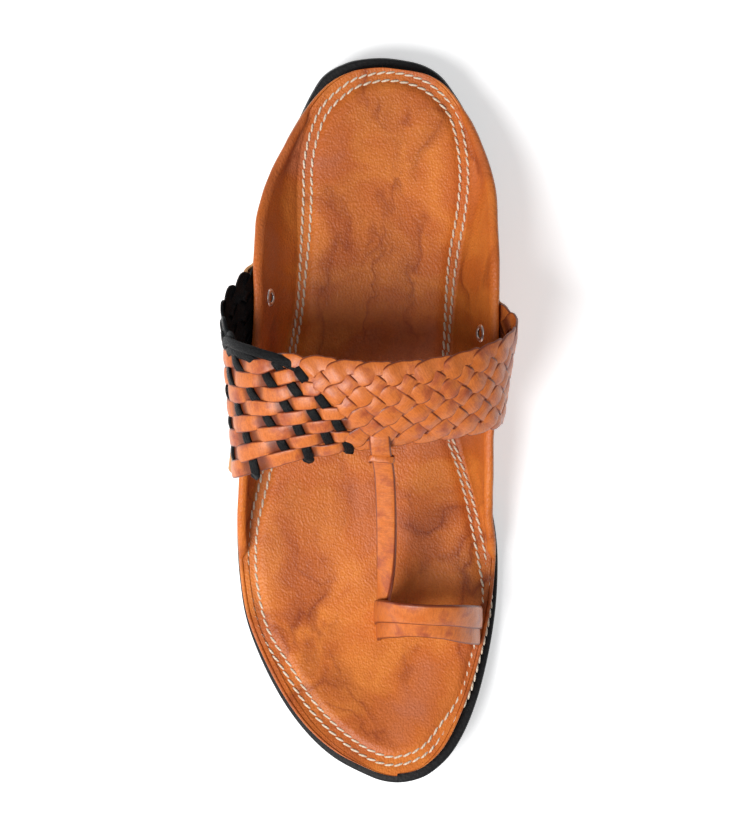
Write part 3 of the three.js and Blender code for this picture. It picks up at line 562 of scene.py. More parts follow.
def marbled_leather(name):
    """Orange tan leather with darker wispy creases, fine pebble grain and a satin gloss, with a painted
    highlight along the bead on the wing tops.
    """
    g = Graph(name)
    place = g.place()
    bend = g.noise(place, 0.022, 3.0, colour=True)
    warped = g.node(
        "ShaderNodeVectorMath", {"operation": "MULTIPLY_ADD"}, i0=bend, i1=(30, 46, 30), i2=place,
    ).outputs[0]
    broad = g.noise(warped, 0.024, 3.0, 0.55)
    tint = g.ramp(broad, [(0.34, TAN_PINK), (0.46, TAN), (0.56, TAN_LIGHT), (0.68, TAN)])
    total = None
    for offset, scale, share in ((0.0, 0.020, 1.0), (61.0, 0.030, 0.80), (143.0, 0.013, 0.85)):
        moved = g.mapped(warped, Location=(offset, offset / 2, 0), Scale=(1, 0.6, 1))
        wisp = g.noise(moved, scale, 4.0, 0.5, 0.3)
        fade = g.ramp(wisp, [(0.455, 0.0), (0.492, 0.8), (0.500, 1.0), (0.512, 0.62), (0.66, 0.0)])
        part = g.ramp(g.noise(moved, scale * 1.7, 1.0), [(0.44, 0.0), (0.60, share)])
        fade = g.math("MULTIPLY", fade, part)
        total = fade if total is None else g.math("MAXIMUM", total, fade)
    brush = g.noise(g.place(stretch=(1.0, 0.35, 1.0)), 0.7, 4.0, 0.7)
    amount = g.math("MULTIPLY", total, g.linear(brush, 0.7, 0.42))
    marked = g.blend(g.math("MULTIPLY", amount, 1.0, True), tint, TAN_DEEP)
    # Painted highlight: the bead along the wing tops is blended towards plain tan
    lit = g.blend(g.math("MULTIPLY", g.value("rim"), 0.45, True), marked, TAN)
    speck = g.noise(place, 1.5, 3.0, 0.6)
    fleck = g.ramp(speck, [(0.3, (0.34, 0.26, 0.22)), (0.7, (0.66, 0.66, 0.66))])
    colour = g.blend(0.30, lit, fleck, "OVERLAY")
    wide = g.place(stretch=(1.0, 0.8, 1.0))
    pebble = g.node("ShaderNodeTexVoronoi", {"feature": "SMOOTH_F1"}, Vector=wide, Scale=1.5)
    crease = g.noise(g.place(stretch=(1.0, 0.6, 1.0)), 1.1, 4.0, 0.6)
    height = g.linear(pebble.outputs["Distance"], 0.8, g.math("MULTIPLY", crease, 0.5))
    return g.finish(
        colour, g.linear(speck, 0.20, 0.34), Normal=g.bump(height, 0.00042, 0.7),
        Coat_Weight=0.04, Coat_Roughness=0.35, Specular_IOR_Level=0.30,
    )


def strip_leather(name):
    """The same leather cut in strips: grain runs across each strip; painted shade darkens each strip where it
    dives under another and along its edges.
    """
    g = Graph(name)
    local = g.local(g.math("MULTIPLY", g.value("tone"), 50.0))
    broad = g.noise(local, 0.13, 3.0, 0.6)
    tint = g.ramp(broad, [(0.25, STRIP_DARK), (0.38, STRIP_RED), (0.52, STRIP_LIGHT), (0.66, TAN)])
    wrinkle = g.noise(g.mapped(local, Scale=(2.2, 0.35, 1.0)), 0.9, 4.0, 0.65, 0.4)
    streaks = g.math("MULTIPLY", g.ramp(wrinkle, [(0.45, 0.0), (0.75, 1.0)]), 0.42)
    streaked = g.blend(streaks, tint, TAN_DEEP)
    # Painted shade along each strip's edges, as dark lines between strips
    edge_shaded = g.blend(g.ramp(g.value("rim"), [(0.80, 0.0), (0.92, 0.9)]), streaked, STRIP_EDGE_SHADE)
    # Painted shade where a strip dives under another
    dive_shaded = g.blend(g.math("MULTIPLY", g.value("dive"), 0.85, True), edge_shaded, STRIP_DIVE_SHADE)
    speck = g.noise(local, 1.9, 3.0, 0.6)
    fleck = g.ramp(speck, [(0.3, (0.34, 0.28, 0.25)), (0.7, (0.68, 0.68, 0.68))])
    colour = g.blend(0.35, dive_shaded, fleck, "OVERLAY")
    height = g.linear(wrinkle, 0.9, g.math("MULTIPLY", speck, 0.5))
    return g.finish(
        colour, g.linear(speck, 0.22, 0.26), Normal=g.bump(height, 0.00025, 0.6),
        Coat_Weight=0.10, Coat_Roughness=0.30, Specular_IOR_Level=0.36,
    )


def raw_edge(name):
    g = Graph(name)
    fibre = g.noise(g.place(), 2.4, 3.0, 0.7)
    colour = g.ramp(fibre, [(0.3, (0.52, 0.26, 0.11)), (0.7, RAW_EDGE)])
    return g.finish(colour, 0.72, Normal=g.bump(fibre, 0.00015, 0.5))


def black_leather(name):
    g = Graph(name)
    local = g.local()
    fold = g.noise(g.mapped(local, Scale=(0.5, 2.4, 1.0)), 0.8, 4.0, 0.6)
    speck = g.noise(g.place(), 2.2, 3.0, 0.6)
    colour = g.ramp(fold, [(0.35, (0.0012, 0.0012, 0.0014)), (0.75, (0.004, 0.0042, 0.005))])
    height = g.math("ADD", fold, g.math("MULTIPLY", speck, 0.6))
    rough = g.linear(speck, 0.25, 0.24)
    return g.finish(colour, rough, Normal=g.bump(height, 0.0005, 0.8), Specular_IOR_Level=0.13)


def rubber(name):
    g = Graph(name)
    place = g.place()
    fine = g.noise(place, 1.6, 5.0, 0.65)
    pits = g.node("ShaderNodeTexVoronoi", {"feature": "F1"}, Vector=place, Scale=0.8).outputs["Distance"]
    colour = g.ramp(fine, [(0.3, (0.004, 0.004, 0.0045)), (0.75, (0.012, 0.012, 0.013))])
    height = g.math("ADD", fine, g.math("MULTIPLY", pits, 0.7))
    rough = g.linear(fine, 0.3, 0.42)
    return g.finish(colour, rough, Normal=g.bump(height, 0.0003, 0.7), Specular_IOR_Level=0.3)


def thread(name):
    g = Graph(name)
    turn = g.linear(g.value("run"), 6.0, g.math("MULTIPLY", g.value("side"), 3.0))
    twist = g.math("SINE", turn)
    colour = g.ramp(g.noise(g.place(), 0.9, 2.0), [(0.3, (0.58, 0.43, 0.29)), (0.7, (0.80, 0.69, 0.55))])
    return g.finish(colour, 0.62, Normal=g.bump(twist, 0.00008, 0.7), Sheen_Weight=0.25)


def metal(name):
    g = Graph(name)
    brushed = g.noise(g.place(stretch=(1, 1, 4)), 1.6, 4.0, 0.6)
    rough = g.linear(brushed, 0.2, 0.26)
    colour = g.ramp(brushed, [(0.3, (0.78, 0.77, 0.75)), (0.7, (0.92, 0.91, 0.89))])
    return g.finish(colour, rough, Normal=g.bump(brushed, 0.00005, 0.4), Metallic=1.0)


edge_material = raw_edge("leather_raw_edge")
# Black rubber, also used as painted shade inside the rivet holes
rubber_and_hole_shade = rubber("rubber_black")
# Material and slot
TAN_LEATHER = marbled_leather("leather_marbled_tan"), "leather_tan"
STRIP_LEATHER = strip_leather("leather_strip_tan"), "leather_tan"
BLACK_LEATHER = black_leather("leather_strip_black"), "leather_black"
RUBBER = rubber_and_hole_shade, "rubber_black"
THREAD = thread("thread_cream"), "stitch_thread"
METAL = metal("metal_satin"), "rivet_metal"


# Outsole: rings of the outline from the underside's edge to the top's edge
def outline_ring(edges, count):
    """Points of an outline in matched pairs, and the way inward at each."""
    turn = math.pi * (np.arange(count) + 0.05) / (count - 0.9)
    y = mix(edges.start, edges.end, (1 - np.cos(turn)) / 2)
    left = np.stack([edges.edge(LATERAL, y), y], 1)
    right = np.stack([edges.edge(MEDIAL, y), y], 1)
    ring = np.vstack([left, right[::-1]])
    return ring, way_in(ring)


def plate(rings):
    """Closed solid through rings that run out along one side of the shoe and back along the other."""
    rings = np.array(rings)
    rows, columns = rings.shape[:2]
    faces = wall_faces(rows, columns)
    for row, flip in ((0, True), (rows - 1, False)):
        base = row * columns
        for k in range(columns // 2 - 1):
            quad = (base + k, base + k + 1, base + columns - 2 - k, base + columns - 1 - k)
            faces.append(quad[::-1] if flip else quad)
    return rings.reshape(-1, 3), faces


def slab(edges, count, profile, low, high):
    """A plate that follows an outline: profile rows are (inset, share of the height, raise)."""
    ring, inward = outline_ring(edges, count)
    y = ring[:, 1]
    rings = []
    for inset, share, raise_by in profile:
        p = ring + inward * inset
        rings.append(np.column_stack([p, mix(low(y), high(y), share) + raise_by]))
    return plate(rings)


sole_profile = [
    (2.2, 0, 0.0), (1.0, 0, 0.05), (0.45, 0, 0.3), (0.12, 0, 0.8), (0, 0, 1.6), (0, 0.5, 0),
    (0, 1, -1.2), (0.12, 1, -0.6), (0.45, 1, -0.2), (1.1, 1, 0.0), (2.6, 1, 0.0),
]
sole = slab(sole_edges, 260, sole_profile, sole_bottom, sole_top)
piece("sole_rubber", [sole], *RUBBER, ["outsole"], sharp=60)

heel_front = HEEL_LENGTH - HEEL_SETBACK


HEEL_PROFILE = [
    (-1.2, 0.0), (-0.4, 0.1), (-0.05, 0.5), (0, 1.1), (0, HEEL_LIFT - 0.75), (-0.35, HEEL_LIFT - 0.42),
    (0, HEEL_LIFT - 0.1), (-0.4, HEEL_LIFT),
]


def make_heel():
    """The block under the heel, flared towards the ground: profile rows are (growth, height)."""
    count = 120
    turn = 1 - np.cos(math.pi / 2 * (np.arange(count) + 0.05) / (count - 0.95))
    y = mix(sole_edges.start, heel_front, turn)
    widen = np.clip((y - y[0]) / 8 + 0.35, 0, 1)
    tip = np.clip(1 - (y - y[0]) / 12, 0, 1)
    front = np.clip((y - heel_front + 1.5) / 1.5, 0, 1)
    rings = []
    for grow, z in HEEL_PROFILE:
        flare = HEEL_FLARE * (1 - z / HEEL_LIFT) + grow
        back = y - (flare * tip - front * grow)
        left, right = (
            np.stack([sole_edges.edge(side, y) + side * flare * widen, back], 1) for side in (LATERAL, MEDIAL)
        )
        ring = np.vstack([left, right[::-1]])
        rings.append(np.column_stack([ring, np.full(len(ring), z)]))
    return plate(rings)


piece("heel_rubber", [make_heel()], *RUBBER, ["heel_lift"], sharp=50)

# Outer stitch row from above, as (across, distance from the heel end plus 3); the inner row lies inside
STITCH_LINE = [
    (-4.4, 8.6), (8.4, 10.8), (14.5, 14.6), (20.8, 20.8), (24.4, 27.5), (27.9, 41.5), (28.3, 55.5),
    (29.1, 71.9), (30.5, 96.2), (32.7, 109.4), (38.2, 135.0), (44.3, 160.5), (48.5, 178.4),
    (49.3, 190.8), (48.5, 202.4), (44.3, 219.2), (36.3, 232.3), (26.3, 247.1), (15.2, 258.3),
    (3.6, 265.9), (-6.0, 268.3), (-17.6, 264.3), (-25.5, 255.1), (-33.1, 243.9), (-37.9, 228.3),
    (-41.1, 215.2), (-42.3, 205.6), (-40.3, 190.8), (-36.3, 172.9), (-31.5, 156.5), (-27.5, 144.9),
    (-25.5, 127.0), (-26.3, 109.4), (-28.1, 87.8), (-29.7, 75.8), (-32.3, 61.9), (-33.5, 47.1),
    (-32.0, 33.0), (-29.1, 23.4), (-24.2, 17.2), (-16.8, 11.6),
]
ROW_GAP = 3.0
STITCH_PITCH = 3.5
outer_row = Spline([(x, y - HEEL_SETBACK - 3) for x, y in STITCH_LINE], closed=True).spaced(1801)[:-1]
inner_narrow = (outer_row[:, 0] < 0) * np.exp(-(((outer_row[:, 1] - 95) / 42) ** 4))
outer_narrow = (outer_row[:, 0] > 0) * np.exp(-(((outer_row[:, 1] - 68) / 26) ** 4))
row_gap = ROW_GAP - 1.3 * inner_narrow - 1.1 * outer_narrow
inner_row = outer_row + way_in(outer_row) * row_gap[:, None]


def inside_row(x, y):
    """Signed distance inside the middle of the two stitch rows, positive towards the foot."""
    middle = (outer_row + inner_row) / 2
    flat = np.stack([np.ravel(x), np.ravel(y)], 1)
    best = np.empty(len(flat))
    inward = way_in(middle)
    for k in range(0, len(flat), 4000):
        gap = flat[k : k + 4000, None] - middle[None, ::3]
        near = (gap**2).sum(-1).argmin(1)
        best[k : k + 4000] = (gap[np.arange(len(near)), near] * inward[::3][near]).sum(-1)
    return best.reshape(np.shape(x))


def floor_height(x, y):
    """Height of the footbed's floor over the sole's top: a sewn valley and a padded middle."""
    d = inside_row(x, y)
    base = CONTACT_GAP + FLOOR_THICKNESS
    pad = 0.8 * smooth((d - 0.8) / 4.0) - 0.6 * smooth((d - 4) / 24)
    valley = -0.40 * np.exp(-((d / 2.4) ** 2))
    rows = -0.22 * (np.exp(-(((d - 1.6) / 0.5) ** 2)) + np.exp(-(((d + 1.6) / 0.5) ** 2)))
    return base + pad + valley + rows - 0.15


# Footbed: its floor, raised sides and the bead along their tops
FLOOR_COLUMNS = 84


def make_footbed():
    count = 420
    turn = math.pi * (np.arange(count) + 0.12) / (count - 0.76)
    y = mix(bed_edges.start, bed_edges.end, (1 - np.cos(turn)) / 2)
    width = bed_edges.edge(LATERAL, y) - bed_edges.edge(MEDIAL, y)
    fit = np.minimum(1, width / 40)
    top = wing_top(y)
    floor = CONTACT_GAP + FLOOR_THICKNESS
    bead = mix(0.75, BEAD_WIDTH, smooth((top - RIM) / (2 * BEAD_WIDTH)))
    low = sole_top(y)
    halves = []
    for side in (LATERAL, MEDIAL):
        def at(distance, height):
            x = wing_face(side, y, height) - side * distance * fit
            return np.stack([x, y, low + height], 1)
        low_corner = ((3.0, 0.0), (0.7, 0.0), (0.2, 0.2), (0.0, 0.7))
        columns = [at(distance, CONTACT_GAP + height) for distance, height in low_corner]
        shoulder = np.maximum(top - bead * 1.2, CONTACT_GAP + 0.8)
        columns += [at(0.0, mix(CONTACT_GAP + 0.7, shoulder, share)) for share in (0.2, 0.4, 0.6, 0.8)]
        rim_start = len(columns)
        for angle in np.linspace(-0.35, math.pi + 0.35, 15):
            distance = bead * (1.0 - np.cos(angle))
            height = top - bead + bead * np.sin(angle)
            columns.append(at(distance, np.maximum(height, CONTACT_GAP + 1.0)))
        rim_count = len(columns)
        last = bead * (1.0 + math.cos(0.35))
        last_height = np.maximum(top - bead - bead * math.sin(0.35), floor + 0.1)
        foot = WING_WALL + 1.5 + 1.2 * smooth((top - RIM) / 10)
        for share in (0.12, 0.25, 0.4, 0.55, 0.7, 0.82, 0.9, 0.96, 1.0):
            height = mix(last_height, floor, 1 - (1 - share) ** 1.15)
            hollow = smooth((share - 0.55) / 0.45)
            distance = mix(last, WING_WALL * 1.15, min(1, share * 1.8)) + (foot - WING_WALL * 1.15) * hollow
            columns.append(at(distance, height))
        halves.append(columns)
    left, right = halves
    floor_columns = []
    for t in np.linspace(0, 1, FLOOR_COLUMNS + 2)[1:-1]:
        column = mix(left[-1], right[-1], t)
        column[:, 2] = low + floor_height(column[:, 0], y)
        floor_columns.append(column)
    for *_, above, column in halves:
        column[:, 2] = low + floor_height(column[:, 0], y)
        above[:, 2] = mix(above[:, 2], column[:, 2] + 0.15, 0.7)
    rings = np.stack(left + floor_columns + right[::-1], 1)
    vertices, faces = tube(rings, flip=True)
    # Painted highlight along the bead and wing tops, fading down the inner wall
    rim = np.zeros(rings.shape[:2])
    raised = smooth((top - RIM) / 6)
    for k, highlight_fade in enumerate([1.0] * (rim_count - rim_start) + [0.7, 0.4, 0.2], rim_start):
        rim[:, k] = rim[:, -1 - k] = raised * highlight_fade
    return vertices, faces, {"rim": rim.ravel()}


piece("footbed_leather", [make_footbed()], *TAN_LEATHER, ["footbed"], sharp=75)


# Facings: the outer leather walls with a light cut edge along their tops
def make_facing(side):
    count = 320
    y = np.linspace(along(WING_ROWS[0][0]), along(WING_ROWS[-1][0]), count)
    top = np.maximum(facing_top(y), 2 * CONTACT_GAP)
    heights = [mix(CONTACT_GAP, top, t) for t in np.linspace(0, 1, 15)]
    wall = 0.12 + (FACING_WALL - 0.12) * smooth(facing_top(y) / 6)
    lean = lean_share[side](share_at(y)) * BALL_WIDTH
    overhang = lean * (wing_top(y) - facing_top(y)) / wing_top(y)
    tuck = np.clip(FACING_GAP + wall - 0.8 * overhang, 0.1, FACING_GAP + wall - 0.08)
    tuck = tuck * (1 - smooth(pocket_depth(side, y, top) / 1.5))

    def at(height, distance):
        x = facing_face(side, y, height) + side * (distance * wall / FACING_WALL - tuck)
        return np.stack([x, y, sole_top(y) + height], 1)

    rows = [at(h, 0.0) for h in heights[:-1]]
    rows += [at(top - 0.05, 0.0), at(top, 0.18), at(top + 0.02, FACING_WALL / 2)]
    rows += [at(top, FACING_WALL - 0.25), at(top - 0.22, FACING_WALL)]
    rows += [at(h - 0.1 * (h > CONTACT_GAP + 0.2), FACING_WALL) for h in heights[-2::-1]]
    rings = np.stack(rows, 1)
    vertices, faces = tube(rings, flip=side == LATERAL)
    marks = np.zeros(len(faces))
    column = np.tile(np.arange(rings.shape[1]), count - 1)
    cut_edge = len(heights) - 2
    marks[: len(column)] = (column >= cut_edge) & (column <= cut_edge + 4)
    return vertices, faces, {"mark": marks}


for side, name in ((LATERAL, "lateral"), (MEDIAL, "medial")):
    piece(
        f"facing_{name}_leather", [make_facing(side)], *TAN_LEATHER, [f"facing_{name}"],
        sharp=50, second=edge_material,
    )

# Weave: eight light strips, crossed by seven dark ones, that go on as a flat plait
STRIP_COUNT = 8
DARK_ROWS = [(0.00, 0.41), (0.10, 0.37), (0.21, 0.28), (0.46, 0.13), (0.60, 0.10), (0.75, 0.09), (1.00, 0.04)]
DARK_RUN = 67.0
# Distance along the band of each dark strip at 0, 1/3, 2/3 and all of the light strips' width
CROSSINGS = [
    (4.0, 5.0, 6.2, 8.0), (14.5, 16.0, 18.0, 20.5), (26.0, 28.0, 31.0, 34.5), (36.4, 39.8, 44.3, 49.8),
    (50.2, 51.6, 53.6, 56.5), (58.2, 59.6, 62.2, 66.0), (65.6, 66.8, 68.6, 72.0),
]
# Distance of every second crossing of the plait near its rear edge
REAR_CROSSINGS = [
    (0, 71.7), (2, 82.2), (4, 92.7), (6, 103.2), (8, 115.0), (10, 126.2), (12, 138.6), (14, 150.5),
    (16, 162.5), (20, 187.0),
]
# First crossing of the plait that each line between two strands takes part in
FIRST_CROSSING = (0, 1, 2, 3, 4, 5, 4)
# Shares of the band's width where the plait's tracks start and that they take up
TRACK_START, TRACK_SPAN = -0.03, 1.06
DARK_START = -0.02975
LIFT = 0.60
STRIP_THICK = 0.95
DARK_WIDTH = 3.6
# Strand widths of the plait: on top going rearward and forward, underneath, and where strands turn
REARWARD_WIDTH, FORWARD_WIDTH, UNDER_WIDTH, TURN_WIDTH = 8.7, 7.2, 5.4, 7.0
# Shares of the width are stretched to about mm by these before a path is resampled
TAN_SCALE, DARK_SCALE = 30, 45
dark_curve = column_curve(DARK_ROWS, 1)


def strip_v(s, strip):
    return mix(dark_curve(np.asarray(s) / DARK_RUN), 1.0, strip / STRIP_COUNT)


def track_v(track):
    return TRACK_START + TRACK_SPAN * (track + 0.5) / STRIP_COUNT


def crossing(line, share):
    row = CROSSINGS[line]
    return np.interp(share, (0, 1 / 3, 2 / 3, 1), row) + 3 * np.minimum(0, share) * (row[1] - row[0])


def plait_s(n, v):
    t = (np.asarray(v) - 0.08) / 0.85
    rear = np.interp(n, *zip(*REAR_CROSSINGS))
    return mix(rear, 95.1 + 5.4 * (n - 8), t) - 12.4 * t * (1 - t)


def strand_lifts(s, knots, signs):
    """Smooth over and under along a strand, flatter at its tops."""
    order = np.argsort(knots)
    knots, signs = np.asarray(knots)[order], np.asarray(signs)[order]
    i = np.clip(np.searchsorted(knots, s) - 1, 0, len(knots) - 2)
    t = smooth((s - knots[i]) / (knots[i + 1] - knots[i]))
    wave = mix(signs[i], signs[i + 1], t)
    return np.tanh(1.7 * wave) / math.tanh(1.7)


def braided(track, n):
    """The track a strand changes to at crossing n, if that goes rearward, and if it passes over."""
    even = n % 2 == 0
    new = track + (1 if (track % 2 == 0) == even else -1)
    return new, new < track, (new < track) == even


tan_parts, black_parts = [], []
for strip in range(STRIP_COUNT):
    track, n, going = strip, 0, []
    while plait_s(n, 0.5) < BAND_EXIT + 18:
        new, rearward, over = braided(track, n)
        line = min(track, new)
        if 0 <= new < STRIP_COUNT and n >= FIRST_CROSSING[line]:
            v = track_v(line + 0.5)
            top_width = REARWARD_WIDTH if rearward else FORWARD_WIDTH
            going.append((plait_s(n, v), v, 1.0 if over else -1.0, top_width if over else UNDER_WIDTH))
            track = new
        elif going:
            v = track_v(track) + (-0.018 if track == 0 else 0.018)
            going.append((plait_s(n, v), v, 0.25, UNDER_WIDTH))
        if going:
            v = track_v(track)
            going.append((plait_s(n + 0.5, v), v, 0.0, TURN_WIDTH))
        n += 1
    s = np.arange(-9, going[0][0] - 3.5, 0.8)
    share = (strip + 0.5) / STRIP_COUNT
    v = mix(strip_v(s, strip + 0.5), track_v(strip), smooth((s - 48) / 22))
    knots = [crossing(0, share) - 20, crossing(0, share) - 10] + [crossing(line, share) for line in range(7)]
    signs = [-1.0 if (strip + line) % 2 else 1.0 for line in range(-2, 7)]
    knots.append(knots[-1] + 8.0)
    signs.append(0.4)
    lift = strand_lifts(s, knots, signs)
    width = np.minimum(band_width(s) * (1 - dark_curve(s / DARK_RUN)) / STRIP_COUNT * 1.12, 6.8)
    v = v + 0.005 * np.sin(s * 0.31 + strip * 2.1)
    rows = [*zip(s, v, lift, width), *going]
    fine = resample([(a, b * TAN_SCALE, c, w) for a, b, c, w in rows], 0.6)
    lift = np.clip(fine[:, 2], -1, 1)
    # The dive value marks painted shade where this strip passes under a crossing strip
    tan_parts.append(band_ribbon(
        fine[:, 0], fine[:, 1] / TAN_SCALE, LIFT * lift, fine[:, 3], STRIP_THICK,
        crown=0.05 + 0.006 * fine[:, 3] ** 2, dive=smooth(0.1 - lift), tone=(strip + 1) / 9,
    ))

# Dark strips across the light ones; two of them come round from the rear edge, three hook over the front one
LEAD_IN = {
    4: [(30, 0.16), (35, 0.10), (41, 0.085), (45, 0.085), (48, 0.11)],
    6: [(31, 0.08), (36, 0.035), (44, 0.02), (54, 0.03), (60, 0.045), (63.5, 0.075)],
}
for line in range(7):
    share = np.linspace(-0.10 if line < 3 else 0.0, 1.0, 24)
    s = crossing(line, share)
    v = mix(dark_curve(s / DARK_RUN), 1.0, share)
    if line >= 4:
        v = np.where(share > 0, mix(v, DARK_START + TRACK_SPAN * share, smooth((s - 48) / 22)), v)
    knots = [(k + 0.5) / STRIP_COUNT for k in range(-1, STRIP_COUNT)]
    signs = [-1.0 if (k + line) % 2 == 0 else 1.0 for k in range(-1, STRIP_COUNT)]
    lift = strand_lifts(share, knots, signs)
    path = list(zip(s, v, lift))
    if line in LEAD_IN:
        height = 1.6 if line == 6 else 0.6
        path = [(*row, height) for row in LEAD_IN[line]] + [row for row in path if row[1] > v[0] + 0.05]
    if line % 2 == 0 and line > 0:
        path += [(s[-1] + 0.2, 1.018, 0.9), (s[-1] - 0.5, 1.036, -0.9), (s[-1] - 1.6, 1.0, -2.2)]
    fine = resample([(a, b * DARK_SCALE, c) for a, b, c in path], 0.5)
    black_parts.append(band_ribbon(
        fine[:, 0], fine[:, 1] / DARK_SCALE, LIFT * fine[:, 2], DARK_WIDTH, STRIP_THICK,
        crown=0.2, tone=0.1 * line,
    ))

# Rear plait of dark strands on the outer side
DARK_TRACKS = 7
DARK_STEP = 4.0
DARK_GAP = 3.7
PLAIT_START, PLAIT_CROSSINGS = -10, 12
PLAIT_WIDTH, PLAIT_THICK = 4.2, 1.0
for strand in range(DARK_TRACKS + 1):
    track = strand
    path = []
    for n in range(PLAIT_CROSSINGS):
        new, _, over = braided(track, n)
        s_mid = PLAIT_START + (n + 0.5) * DARK_STEP
        if 0 <= new <= DARK_TRACKS:
            path.append((s_mid, max(track, new) * DARK_GAP, 1.0 if over else -1.0))
            track = new
        else:
            path.append((s_mid, (track + 0.5) * DARK_GAP + (-1.5 if track == 0 else 1.0), 0.0))
        path.append((s_mid + DARK_STEP / 2, (track + 0.5) * DARK_GAP, 0.0))
    fine = resample(path, 0.6)
    s, across = fine[:, 0], fine[:, 1]
    limit = dark_curve(s / DARK_RUN) * band_width(s)
    beyond = smooth((across - limit + 1.0) / 3.0)
    lift = mix(0.6 * np.clip(fine[:, 2], -1, 1), -0.9, beyond)
    keep = across < limit + 3.0
    runs = np.split(np.arange(len(s)), np.where(np.diff(keep.astype(int)) != 0)[0] + 1)
    for run in runs:
        if len(run) >= 6 and keep[run[0]]:
            black_parts.append(band_ribbon(
                s[run], (across / band_width(s))[run], lift[run], PLAIT_WIDTH, PLAIT_THICK,
                crown=0.35, tone=0.07 * strand,
            ))

piece("strips_tan_woven", tan_parts, *STRIP_LEATHER, ["woven_upper"], sharp=55)
piece("strips_black_woven", black_parts, *BLACK_LEATHER, sharp=55)

# Instep strap and toe loop
INSTEP_ROWS = [
    (0.515, 0.000, 0.835, 0), (0.533, -0.004, 0.815, 0), (0.547, -0.010, 0.775, 4),
    (0.570, -0.020, 0.715, 12), (0.636, -0.028, 0.585, 28), (0.697, -0.026, 0.440, 48),
    (0.739, -0.016, 0.300, 70), (0.765, -0.004, 0.160, 86), (0.773, 0.002, 0.040, 90),
]
TOE_LOOP_ROWS = [
    (0.008, 0.06, 0.000), (0.004, 0.36, -0.004), (-0.020, 0.66, -0.006), (-0.082, 0.90, -0.006),
    (-0.180, 0.965, -0.004), (-0.278, 0.86, -0.002), (-0.352, 0.60, 0.002), (-0.382, 0.32, 0.004),
    (-0.386, 0.06, 0.006),
]
TOE_LOOP_AT, TOE_LOOP_TILT, TOE_LOOP_HEIGHT = 0.779, 32.0, 36.0
STRAP_WIDTH, STRAP_THICK = 7.7, 2.0
KEEPER_WIDTH, KEEPER_THICK = 2.6, 0.9
LAYER_THICK = 1.5
# Rear and front layer of the toe loop: width, shift, lift, crown and tone
LOOP_LAYERS = ((8.8, -3.0, 0.5, 0.3, 0.8), (8.0, 3.4, -0.4, 0.2, 0.3))


def flat_strap(points, axes, count, width, thick, shift=0.0, lift=0.0, **more):
    """A flat strap along points; shift moves it along its width and lift off its own face."""
    u = np.linspace(0, len(points) - 1, count)
    centre = Spline(points).at(u)
    side = unit(Spline(axes).at(u))
    ahead = unit(np.gradient(centre, axis=0))
    side = unit(side - ahead * (side * ahead).sum(1, keepdims=True))
    normals = np.cross(side, ahead)
    raised = np.interp(u, np.arange(len(points)), np.broadcast_to(lift, (len(points),)))[:, None]
    return ribbon(centre + side * shift + normals * raised, normals, width, thick, **more)


strap_points, strap_axes = [], []
for at, across, up, roll in INSTEP_ROWS:
    y = along(at)
    strap_points.append((across * BALL_WIDTH, y, float(sole_top(y)) + up * INSTEP_HEIGHT))
    strap_axes.append((math.cos(math.radians(roll)), -math.sin(math.radians(roll)), 0))
strap_lift = [0.6, 0.9, 0.7, 0.2, 0, 0, 0, 0, 0]

# A short fold round the strap holds it just in front of the band
keeper_at = np.array(strap_points[2]) + (0.1, 1.6, 0.0)
keeper_turn = np.linspace(-2.3, 2.3, 40)
keeper_path = keeper_at + np.stack([
    -np.sign(keeper_turn) * np.abs(np.sin(keeper_turn)) ** 0.5 * 4.5, 0.35 * np.sin(2 * keeper_turn),
    np.sign(np.cos(keeper_turn)) * np.abs(np.cos(keeper_turn)) ** 0.6 * 2.0 - 0.6,
], 1)
keeper_out = keeper_path - keeper_at
keeper_out[:, 1] = 0
piece(
    "instep_strap_leather",
    [
        flat_strap(
            strap_points, strap_axes, 200, STRAP_WIDTH, STRAP_THICK, lift=strap_lift, crown=0.2, tone=0.5,
        ),
        ribbon(keeper_path, unit(keeper_out + (0, 0, 0.4)), KEEPER_WIDTH, KEEPER_THICK, crown=0.15, tone=0.9),
    ],
    *STRIP_LEATHER, sharp=55,
)

loop_points, loop_axes = [], []
for across, up, shift in TOE_LOOP_ROWS:
    y = along(TOE_LOOP_AT + shift)
    loop_points.append((across * BALL_WIDTH, y, float(sole_top(y)) + up * TOE_LOOP_HEIGHT))
    lean = math.radians(TOE_LOOP_TILT) * float(smooth(up))
    loop_axes.append((0, math.cos(lean), -math.sin(lean)))
layers = [
    flat_strap(loop_points, loop_axes, 160, width, LAYER_THICK, shift, lift, crown=crown, tone=tone)
    for width, shift, lift, crown, tone in LOOP_LAYERS
]
piece("toe_loop_leather", layers, *STRIP_LEATHER, sharp=55)


# Stitches: short thread capsules that dip in at both ends
STITCH_SHARE, STITCH_SLANT, STITCH_RADIUS = 0.97, 0.7, 0.43
STITCH_RINGS, STITCH_SIDES = 7, 8


